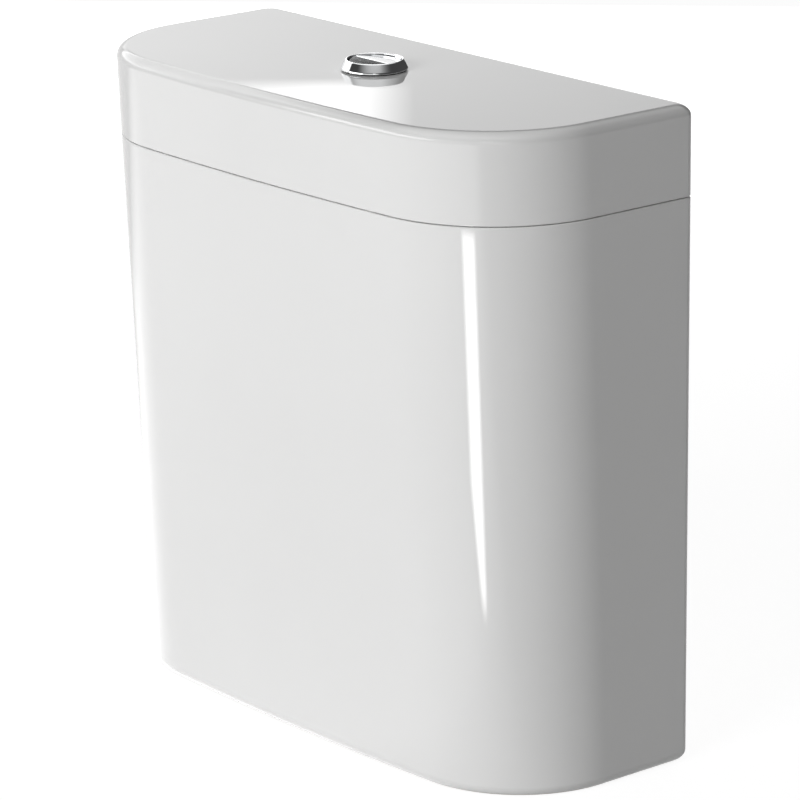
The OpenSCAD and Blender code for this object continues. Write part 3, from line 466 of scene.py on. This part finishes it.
def height_band(tree, low, high):
    """0 below the height low, 1 above the height high."""
    place = add(tree, "ShaderNodeTexCoord", {})
    axes = add(tree, "ShaderNodeSeparateXYZ", {"Vector": place.outputs["Object"]})
    return spread(tree, axes.outputs["Z"], 0.0, 1.0, low, high)


def spread(tree, amount, low, high, start=0.3, end=0.7, ease="LINEAR"):
    """Spread an amount between start and end over the values low to high."""
    band = add(
        tree,
        "ShaderNodeMapRange",
        {"Value": amount, "From Min": start, "From Max": end, "To Min": low, "To Max": high},
        interpolation_type=ease,
    )
    return band.outputs["Result"]


def reckon(tree, operation, first, second):
    """One sum of two amounts, such as their product or the greater of them."""
    return add(tree, "ShaderNodeMath", {0: first, 1: second}, operation=operation).outputs["Value"]


def mix(tree, amount, first, second):
    """Mix two colours, each a colour or a node's output."""
    node = add(tree, "ShaderNodeMix", {}, data_type="RGBA")
    sockets = {socket.identifier: socket for socket in node.inputs}
    link(tree, amount, sockets["Factor_Float"])
    for key, value in (("A_Color", first), ("B_Color", second)):
        if not isinstance(value, bpy.types.NodeSocket):
            value = (*value, 1.0)
        link(tree, value, sockets[key])
    return next(socket for socket in node.outputs if socket.identifier == "Result_Color")


def shade(tint, factor):
    return tuple(min(1.0, part * factor) for part in tint)


def mottle(tree, tint, scale, depth):
    """A tint that varies by the share depth."""
    amount = spread(tree, grain(tree, scale), 0.0, 1.0)
    return mix(tree, amount, shade(tint, 1 - depth), shade(tint, 1 + depth))


def bump(tree, shader, amount, height, below=None):
    """Raise the surface by the amount times height, over any bump below."""
    values = {"Height": amount, "Strength": 1.0, "Distance": height}
    if below:
        values["Normal"] = below
    node = add(tree, "ShaderNodeBump", values)
    link(tree, node.outputs["Normal"], shader.inputs["Normal"])
    return node.outputs["Normal"]


def glazed_ceramic(name, colours):
    """White glaze with slow waves and fine orange peel, and a bare rim where it was fired."""
    material, tree, shader = blank(name, "IOR", 1.5)
    glazed = height_band(tree, low=0.0008, high=0.0022)
    bare = mottle(tree, colours.bisque, scale=180, depth=0.08)
    white = mottle(tree, colours.glaze, scale=7, depth=0.012)
    link(tree, mix(tree, glazed, bare, white), shader.inputs["Base Color"])
    gloss = spread(tree, grain(tree, scale=30), low=0.02, high=0.035)
    rough = spread(tree, glazed, low=0.7, high=0.0, start=0.0, end=1.0)
    link(tree, reckon(tree, "MAXIMUM", gloss, rough), shader.inputs["Roughness"])
    waves = bump(tree, shader, grain(tree, scale=14, detail=1.0), height=0.00002)
    bump(tree, shader, grain(tree, scale=420, detail=1.0), height=0.0000004, below=waves)
    return material


def chrome(name, colours):
    """Bright plating with faint wiping marks."""
    material, tree, shader = blank(name, "Metallic", 1.0)
    link(tree, mottle(tree, colours.chrome, scale=90, depth=0.03), shader.inputs["Base Color"])
    wiped = grain(tree, scale=900, detail=3.0, stretch=(1.0, 0.12, 1.0))
    link(tree, spread(tree, wiped, low=0.03, high=0.08), shader.inputs["Roughness"])
    bump(tree, shader, wiped, height=0.0000012)
    return material


def moulded(name, tint, low, high):
    """Moulded plastic: a fine sparked grain, slow flow shading and gloss from low to high."""
    material, tree, shader = blank(name, "IOR", 1.46)
    link(tree, mottle(tree, tint, scale=45, depth=0.05), shader.inputs["Base Color"])
    link(tree, spread(tree, grain(tree, scale=160), low, high), shader.inputs["Roughness"])
    sparked = bump(tree, shader, grain(tree, scale=2600), height=0.000012)
    bump(tree, shader, grain(tree, scale=60, detail=1.0), height=0.00006, below=sparked)
    return material


def soft(name, tint, low, high):
    """Rubber: dull, with a fine bloom and a pebbled skin."""
    material, tree, shader = blank(name, "IOR", 1.5)
    link(tree, mottle(tree, tint, scale=240, depth=0.25), shader.inputs["Base Color"])
    link(tree, spread(tree, grain(tree, scale=300), low, high), shader.inputs["Roughness"])
    bump(tree, shader, grain(tree, scale=1800), height=0.00003)
    return material


def drawn_metal(name, tint):
    """Metal with fine lines from drawing or turning."""
    material, tree, shader = blank(name, "Metallic", 1.0)
    lines = grain(tree, scale=1500, stretch=(0.2, 0.2, 1.0))
    link(tree, mottle(tree, tint, scale=200, depth=0.08), shader.inputs["Base Color"])
    link(tree, spread(tree, lines, low=0.22, high=0.38), shader.inputs["Roughness"])
    bump(tree, shader, lines, height=0.000008)
    return material


def finish(slot):
    """The material of one of the record's slots, made at its first use."""
    name = "finish_" + slot
    made = bpy.data.materials.get(name)
    if made:
        return made
    colours = bpy.context.scene.cistern_colours
    makers = {
        "glazed_ceramic": lambda: glazed_ceramic(name, colours),
        "chrome": lambda: chrome(name, colours),
        "white_plastic": lambda: moulded(name, colours.white, low=0.34, high=0.46),
        "blue_plastic": lambda: moulded(name, colours.blue, low=0.26, high=0.38),
        "green_plastic": lambda: moulded(name, colours.green, low=0.26, high=0.38),
        "float_plastic": lambda: moulded(name, colours.float_grey, low=0.3, high=0.42),
        "black_rubber": lambda: soft(name, colours.rubber, low=0.55, high=0.75),
        "pale_rubber": lambda: soft(name, colours.buffer, low=0.6, high=0.8),
        "red_silicone": lambda: soft(name, colours.silicone, low=0.32, high=0.48),
        "steel": lambda: drawn_metal(name, colours.steel),
        "brass": lambda: drawn_metal(name, colours.brass),
    }
    return makers[slot]()


# Pieces


class CISTERN_OT_tank(bpy.types.Operator):
    """Model the ceramic tank: one shell through recess, foot, outside and inside."""

    bl_idname = "cistern.tank"
    bl_label = "Ceramic tank"

    def execute(self, context):
        s = context.scene.cistern_sizes
        floor_top = s.recess + s.floor
        recess = rounding(s.recess, s.foot_wall, s.fillet, 1)[::-1]
        foot = rounding(0, s.foot_wall, s.foot_round, -1, outwards=-1)
        base = rounding(0, 0, s.base_round, -1)[::-1]
        rim = rounding(s.seam_height, 0, s.seam_round, 1)
        inner_rim = rounding(s.seam_height, s.wall, s.seam_round, 1, outwards=-1)[::-1]
        inside = rounding(floor_top, s.wall, s.fillet, -1)
        tank = through_rings(
            "tank_shell",
            s,
            with_back(recess + foot, s.fillet)
            + with_back(base + rim, s.back_corner)
            + with_back(inner_rim + inside, s.fillet),
        )
        low, high = s.recess - s.floor, floor_top + s.floor
        drill(tank, 0, VALVE_Y, s.outlet_hole, low, high)
        drill(tank, INLET_X, INLET_Y, s.inlet_hole, low, high)
        for side in (-1, 1):
            drill(tank, side * s.bolt_pitch / 2, VALVE_Y, s.bolt_hole, low, high)
        dress(smooth(tank), "glazed_ceramic", "tank", "cistern_tank")
        return {"FINISHED"}


class CISTERN_OT_lid(bpy.types.Operator):
    """Model the ceramic lid with its hollow underside, its lugs and the button's hole."""

    bl_idname = "cistern.lid"
    bl_label = "Ceramic lid"

    def execute(self, context):
        s = context.scene.cistern_sizes
        ceiling = s.height - s.lid_top
        hollow = rounding(ceiling, s.lid_wall, s.fillet, 1)[::-1]
        inner_edge = rounding(s.lid_edge, s.lid_wall, s.seam_round, -1, outwards=-1)
        outer_edge = rounding(s.lid_edge, 0, s.seam_round, -1)[::-1]
        top = rounding(s.height, 0, s.lid_round, 1, steps=12)
        top += [(s.height, s.lid_round + s.seam_round)]
        lid = through_rings(
            "lid_shell",
            s,
            with_back(hollow + inner_edge, s.fillet) + with_back(outer_edge + top, s.back_corner),
        )
        combine(lid, self.lugs(s), "UNION")
        drill(lid, 0, VALVE_Y, s.button_hole, ceiling - s.lid_top, s.height + s.lid_top)
        dress(smooth(close_up(lid)), "glazed_ceramic", "lid", "cistern_lid")
        return {"FINISHED"}

    def lugs(self, s):
        """A thin upright ring cut down to two lugs in front and two behind."""
        low, high = LID_LOW.z, s.lid_edge + s.fillet
        inner = s.lug_inset + s.lug_wall
        outside = [(low, s.lug_inset), (high, s.lug_inset)]
        inside = [(low - s.wall, inner), (high + s.wall, inner)]
        ring = through_rings("lugs", s, with_back(outside, s.fillet))
        hollow = through_rings("lug_hollow", s, with_back(inside, s.fillet))
        combine(ring, hollow, "DIFFERENCE")
        deselect()
        bpy.ops.mesh.primitive_cube_add(
            size=1, location=(s.lug_place, 0, (low + high) / 2),
            scale=(s.lug_width, 1, high - low + s.wall),
        )
        bars = settle(named("lug_bars"))
        modify(bars, "MIRROR", use_axis=(True, False, False))
        return combine(ring, bars, "INTERSECT")


class CISTERN_OT_bezel(bpy.types.Operator):
    """Turn the chrome bezel with its threaded sleeve."""

    bl_idname = "cistern.bezel"
    bl_label = "Chrome bezel"

    def execute(self, context):
        s = context.scene.cistern_sizes
        foot = GASKET_HIGH.z
        lip = Vector((s.sleeve_bore + s.bezel_lip, BEZEL_HIGH.z - s.bezel_lip))
        shoulder = Vector((s.bezel_radius, foot + s.bezel_upstand))
        reach = shoulder - lip
        slope = math.atan2(reach.y, reach.x) + math.acos(s.bezel_lip / reach.length)
        crown = arc(lip.x, lip.y, s.bezel_lip, slope, math.pi, steps=10)
        cone = (Vector(crown[0]) - shoulder).normalized() * s.button_edge
        below = Vector((0, -s.button_edge))
        bends = (0, 0.25, 0.5, 0.75, 1)
        eased = [shoulder + below * (1 - t) ** 2 + cone * t ** 2 for t in bends]
        root = s.sleeve_radius - s.thread_depth
        quarter = s.thread_pitch / 4
        thread = []
        z = BEZEL_LOW.z + s.thread_pitch / 2
        while z < foot - s.thread_pitch:
            thread += [(root, z), (s.sleeve_radius, z + quarter)]
            thread += [(s.sleeve_radius, z + 2 * quarter), (root, z + 3 * quarter)]
            z += s.thread_pitch
        sleeve = [(s.sleeve_bore, BEZEL_LOW.z), (root, BEZEL_LOW.z)]
        flange = [(s.sleeve_radius, foot), (s.bezel_radius - s.button_edge / 2, foot)]
        flange += [(s.bezel_radius, foot + s.button_edge / 2)]
        profile = sleeve + thread + flange + eased + crown
        bezel = turned("bezel_ring", profile, 0, VALVE_Y, steps=128)
        dress(smooth(bezel, degrees=40), "chrome", "lid", "button_bezel")
        return {"FINISHED"}


class CISTERN_OT_buttons(bpy.types.Operator):
    """Cut one disc into the large and the small button, which slope away from the split."""

    bl_idname = "cistern.buttons"
    bl_label = "Flush buttons"

    def execute(self, context):
        s = context.scene.cistern_sizes
        self.button(s, "full", 1, s.full_slope, FULL_LOW.z)
        self.button(s, "half", -1, s.half_slope, HALF_LOW.z)
        return {"FINISHED"}

    def button(self, s, name, side, slope, stem_end):
        """One segment with its stem. side is 1 behind the split and -1 in front of it."""
        ridge = FULL_HIGH.z + s.split_gap / 2 * math.tan(s.full_slope)
        under = ridge - s.button_thickness
        split_y = VALVE_Y - s.split
        cap = rod(name + "_button_cap", 0, VALVE_Y, s.button_radius, under, ridge, sides=128)
        face = Vector((0, side * math.sin(slope), math.cos(slope)))
        self.cut(s, cap, (0, split_y + side * s.split_gap / 2, ridge), (0, -side, 0))
        self.cut(s, cap, (0, split_y, ridge), face)
        self.soften(s, cap)
        stem = rod(
            "stem", -side * s.stem_side, VALVE_Y + side * s.stem_back, s.stem_radius,
            stem_end, under + s.button_edge, sides=48,
        )
        combine(cap, stem, "UNION")
        smooth(close_up(cap), degrees=35)
        dress(cap, "chrome", name + "_button", name + "_flush_button")

    def cut(self, s, cap, place, way):
        """Take off what lies on that side of a plane, and close the cut."""
        edit(cap)
        bpy.ops.mesh.select_all(action="SELECT")
        bpy.ops.mesh.bisect(plane_co=place, plane_no=way, use_fill=True, clear_outer=True)
        close_up(cap, s.button_edge / 5)

    def soften(self, s, cap):
        """Round the edges of the rim and of the split."""
        edit(cap)
        bpy.ops.mesh.select_mode(type="EDGE")
        bpy.ops.mesh.edges_select_sharp(sharpness=math.radians(50))
        bpy.ops.mesh.bevel(offset=s.button_edge, segments=3, affect="EDGES")
        bpy.ops.object.mode_set(mode="OBJECT")


class CISTERN_OT_springs(bpy.types.Operator):
    """Wind the two return springs round the stems."""

    bl_idname = "cistern.springs"
    bl_label = "Return springs"

    def execute(self, context):
        s = context.scene.cistern_sizes
        for name in ("full", "half"):
            low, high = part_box(name + "_button_spring")
            middle = (low + high) / 2
            spring = self.wind(s, name + "_spring_coil", middle.x, middle.y, low, high)
            dress(spring, "steel", "lid", name + "_button_spring")
            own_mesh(spring)
        return {"FINISHED"}

    def wind(self, s, name, x, y, low, high):
        """A round wire wound up inside the box from low to high, with closed ends."""
        wire = s.spring_wire / 2
        radius = (high.x - low.x) / 2 - wire
        rise = high.z - low.z - s.spring_wire
        deselect()
        bpy.ops.mesh.primitive_circle_add(
            vertices=12, radius=wire, location=(radius, 0, 0), rotation=(math.pi / 2, 0, 0)
        )
        coil = settle(named(name))
        modify(
            coil, "SCREW", axis="Z", steps=32, render_steps=32, iterations=s.spring_turns,
            screw_offset=rise / s.spring_turns, use_merge_vertices=False,
        )
        edit(coil)
        bpy.ops.mesh.select_all(action="SELECT")
        bpy.ops.mesh.fill_holes(sides=0)
        bpy.ops.mesh.select_all(action="SELECT")
        bpy.ops.transform.translate(value=(x, y, low.z + wire))
        bpy.ops.object.mode_set(mode="OBJECT")
        return smooth(close_up(coil, reach=1e-7), degrees=50)


class CISTERN_OT_valves(bpy.types.Operator):
    """Give every solid that stays in view the finish of its slot."""

    bl_idname = "cistern.valves"
    bl_label = "Valve finishes"

    def execute(self, context):
        for name, node in NODES.items():
            for holder in node.material_slots:
                holder.material = finish(SLOT_OF[name])
        return {"FINISHED"}


# Stage


def around(azimuth, distance, height):
    """A place at that azimuth and distance from the cistern's middle."""
    return Vector((math.sin(azimuth) * distance, -math.cos(azimuth) * distance, height))


def lamp(name, place, aim, width, tall, watts, mirrored, roll=0.0):
    """A rectangular lamp turned to its aim, which the camera doesn't see.

    One that is mirrored shows only in gloss, and one that isn't lights only what is matt.
    """
    deselect()
    turn = (aim - place).to_track_quat("-Z", "Y") @ Quaternion((0, 0, 1), roll)
    bpy.ops.object.light_add(type="AREA", location=place, rotation=turn.to_euler())
    light = named(name)
    light.data.shape = "RECTANGLE"
    light.data.size = width
    light.data.size_y = tall
    light.data.energy = watts
    light.visible_camera = False
    light.visible_diffuse = not mirrored
    light.visible_glossy = mirrored
    return light


def feather(light, left, right, low, high, nick=0.0, nick_top=0.35):
    """Fade a lamp out at its edges, over shares of its width and height.

    Left and right are as the lamp looks out. nick takes that share off its left side at the
    foot, and less and less up to the share nick_top of its height.
    """
    light.data.use_nodes = True
    tree = light.data.node_tree
    place = add(tree, "ShaderNodeNewGeometry", {})
    axes = add(tree, "ShaderNodeSeparateXYZ", {"Vector": place.outputs["Parametric"]})
    across, up = axes.outputs["X"], axes.outputs["Y"]
    cut = spread(tree, up, nick, 0.0, 0.0, nick_top)
    beside = reckon(tree, "SUBTRACT", across, cut)
    edges = (
        (beside, 0.0, left),
        (across, 1.0, 1 - right),
        (up, 0.0, low),
        (up, 1.0, 1 - high),
    )
    share = 1.0
    for amount, edge, full in edges:
        share = reckon(tree, "MULTIPLY", share, spread(tree, amount, 0.0, 1.0, edge, full))
    link(tree, share, tree.nodes["Emission"].inputs["Strength"])


class CISTERN_OT_stage(bpy.types.Operator):
    """Set up the camera, the lamps, the world and the floor."""

    bl_idname = "cistern.stage"
    bl_label = "Studio stage"

    def execute(self, context):
        stage = context.scene.cistern_stage
        self.camera(context.scene, stage)
        self.lamps(stage)
        self.world(context.scene, stage)
        self.floor(stage)
        context.scene.view_settings.view_transform = "Standard"
        return {"FINISHED"}

    def camera(self, scene, stage):
        aim = Vector((stage.aim_side, 0, stage.aim_height))
        level = stage.view_distance * math.cos(stage.view_elevation)
        rise = stage.view_distance * math.sin(stage.view_elevation)
        place = aim + around(stage.view_azimuth, level, rise)
        turn = (aim - place).to_track_quat("-Z", "Y") @ Quaternion((0, 0, 1), stage.view_roll)
        deselect()
        bpy.ops.object.camera_add(location=place, rotation=turn.to_euler())
        camera = named("camera")
        camera.data.sensor_width = 36
        camera.data.lens = stage.lens
        scene.camera = camera

    def lamps(self, stage):
        """Two lamps for what is matt, in front and behind. The others only show in gloss."""
        middle = Vector((0, 0, 0.2))
        lamp(
            "key_lamp", around(math.radians(12), distance=5.0, height=1.634), middle,
            width=2.6, tall=2.6, watts=stage.key_power, mirrored=False,
        )
        lamp(
            "back_lamp", around(math.radians(225), distance=2.2, height=middle.z), middle,
            width=1.5, tall=0.36, watts=stage.back_power, mirrored=False,
        )
        self.front_lamps(stage)
        self.lid_edge_lamps(stage)
        self.lid_top_lamps(stage)

    def front_lamps(self, stage):
        """The upright strip on the corner, and the lit floor below the front."""
        corner = Vector((0.145, 0.013, 0.139))
        strip = lamp(
            "strip_lamp", around(math.radians(44), distance=0.37, height=corner.z), corner,
            width=0.06, tall=0.265, watts=stage.strip_power, mirrored=True,
            roll=math.radians(-3.7),
        )
        feather(strip, left=0.25, right=0.25, low=0.08, high=0.03, nick=0.55)
        place = Vector((-0.534, -1.011, 0.002))
        floor = lamp(
            "floor_lamp", place, place + Vector((0, 0, 1)),
            width=2.6, tall=2.4, watts=stage.sweep_power, mirrored=True,
            roll=math.radians(232),
        )
        feather(floor, left=0.12, right=0.05, low=0.07, high=0.1, nick=0.3)

    def lid_edge_lamps(self, stage):
        """What the rounding of the lid's edge shows: two lines below it, and the left side."""
        lid_edge = Vector((0.08, -0.08, 0.4))
        edge = lamp(
            "edge_lamp", around(math.radians(-16.3), distance=0.927, height=0.585), lid_edge,
            width=1.05, tall=0.32, watts=stage.edge_power, mirrored=True,
        )
        feather(edge, left=0.1, right=0.1, low=0.3, high=0.3)
        lamp(
            "glint_lamp", around(math.radians(50), distance=1.0, height=0.68), lid_edge,
            width=0.14, tall=0.06, watts=stage.glint_power, mirrored=True,
        )
        place = Vector((-0.6, -0.08, 0.735))
        side = lamp(
            "side_lamp", place, place + Vector((1, 0, 0)),
            width=0.84, tall=0.57, watts=stage.side_power, mirrored=True,
        )
        feather(side, left=0.08, right=0.15, low=0.1, high=0.25, nick=0.37)

    def lid_top_lamps(self, stage):
        """The bright patch on the lid's top, and the pale backdrop in the rest of it."""
        away = around(stage.view_azimuth + math.pi, distance=1.0, height=0)
        left = around(stage.view_azimuth - math.pi / 2, distance=1.0, height=0)
        aim = left * 0.07 + Vector((0, 0, 0.51))
        panel = lamp(
            "panel_lamp", aim + away * 0.35, aim,
            width=0.2, tall=0.06, watts=stage.panel_power, mirrored=True,
        )
        feather(panel, left=0.2, right=0.7, low=0.13, high=0.2)
        aim = Vector((0, 0, 0.665))
        backdrop = lamp(
            "backdrop_lamp", aim + away, aim,
            width=0.8, tall=0.3, watts=stage.backdrop_power, mirrored=True,
        )
        feather(backdrop, left=2.0, right=0.05, low=0.133, high=0.2)

    def world(self, scene, stage):
        """White to the camera, grey to what is matt, and in mirrors a dim room with a skylight.

        The room and its skylight darken towards the camera's right.
        """
        world = bpy.data.worlds.new("studio")
        scene.world = world
        world.use_nodes = True
        tree = world.node_tree
        tree.nodes.clear()
        rays = add(tree, "ShaderNodeLightPath", {}).outputs
        seen = reckon(tree, "MAXIMUM", rays["Is Camera Ray"], rays["Is Glossy Ray"])
        seen = reckon(tree, "MAXIMUM", seen, rays["Is Transmission Ray"])
        way = add(tree, "ShaderNodeTexCoord", {}).outputs["Generated"]
        rise = add(tree, "ShaderNodeSeparateXYZ", {"Vector": way}).outputs["Z"]
        right = around(stage.view_azimuth + math.pi / 2, distance=1.0, height=0)
        aside = add(tree, "ShaderNodeVectorMath", {0: way, 1: right}, operation="DOT_PRODUCT")
        beside = aside.outputs["Value"]
        lit = spread(tree, beside, 1.0, stage.ceiling, stage.dim_start, stage.dim_end)
        overhead = spread(tree, beside, stage.overhead, stage.ceiling, stage.dim_end, 1.0)
        low = spread(tree, rise, 1.0, 0.0, math.sin(stage.horizon), math.sin(stage.dusk))
        high = spread(
            tree, rise, stage.ceiling, overhead,
            math.sin(stage.skylight), math.sin(stage.zenith), ease="SMOOTHSTEP",
        )
        pale = reckon(tree, "MAXIMUM", reckon(tree, "MULTIPLY", low, lit), high)
        pale = reckon(tree, "MAXIMUM", pale, rays["Is Camera Ray"])
        grey = add(tree, "ShaderNodeBackground", {"Color": WHITE, "Strength": stage.ambient})
        white = add(tree, "ShaderNodeBackground", {"Color": WHITE, "Strength": pale})
        both = add(
            tree, "ShaderNodeMixShader",
            {0: seen, 1: grey.outputs["Background"], 2: white.outputs["Background"]},
        )
        add(tree, "ShaderNodeOutputWorld", {"Surface": both.outputs["Shader"]})

    def floor(self, stage):
        """White to the camera and in mirrors, with the shadow, and grey to what is matt."""
        deselect()
        bpy.ops.mesh.primitive_plane_add(size=12)
        floor = named("studio_floor")
        material = bpy.data.materials.new("studio_floor")
        material.use_nodes = True
        tree = material.node_tree
        tree.nodes.clear()
        rays = add(tree, "ShaderNodeLightPath", {}).outputs
        seen = reckon(tree, "MAXIMUM", rays["Is Camera Ray"], rays["Is Glossy Ray"])
        matt = add(tree, "ShaderNodeBsdfDiffuse", {"Color": (*stage.floor_grey, 1.0)})
        pale = add(tree, "ShaderNodeBsdfDiffuse", {"Color": (*stage.floor_seen, 1.0)})
        glow = add(tree, "ShaderNodeEmission", {"Color": WHITE, "Strength": stage.floor_glow})
        white = add(
            tree, "ShaderNodeAddShader",
            {0: pale.outputs["BSDF"], 1: glow.outputs["Emission"]},
        )
        both = add(
            tree, "ShaderNodeMixShader",
            {0: seen, 1: matt.outputs["BSDF"], 2: white.outputs["Shader"]},
        )
        add(tree, "ShaderNodeOutputMaterial", {"Surface": both.outputs["Shader"]})
        floor.data.materials.append(material)


OPERATORS = (
    CISTERN_OT_valves,
    CISTERN_OT_tank,
    CISTERN_OT_lid,
    CISTERN_OT_bezel,
    CISTERN_OT_buttons,
    CISTERN_OT_springs,
    CISTERN_OT_stage,
)


class CISTERN_PT_sidebar(bpy.types.Panel):
    """Lists the pieces in the order in which they are made."""

    bl_idname = "CISTERN_PT_sidebar"
    bl_label = "Cistern"
    bl_space_type = "VIEW_3D"
    bl_region_type = "UI"
    bl_category = "Cistern"

    def draw(self, context):
        for operator in OPERATORS:
            self.layout.operator(operator.bl_idname)


GROUPS = {
    "cistern_sizes": CisternSizes,
    "cistern_colours": CisternColours,
    "cistern_stage": CisternStage,
}


def register():
    for kind in (*GROUPS.values(), *OPERATORS, CISTERN_PT_sidebar):
        bpy.utils.register_class(kind)
    for name, group in GROUPS.items():
        setattr(bpy.types.Scene, name, PointerProperty(type=group))


def unregister():
    for name in GROUPS:
        delattr(bpy.types.Scene, name)
    for kind in (CISTERN_PT_sidebar, *reversed(OPERATORS), *GROUPS.values()):
        bpy.utils.unregister_class(kind)


def main():
    register()
    bpy.ops.cistern.valves()
    bpy.ops.cistern.tank()
    bpy.ops.cistern.lid()
    bpy.ops.cistern.bezel()
    bpy.ops.cistern.buttons()
    bpy.ops.cistern.springs()
    bpy.ops.cistern.stage()


if __name__ == "__main__":
    main()
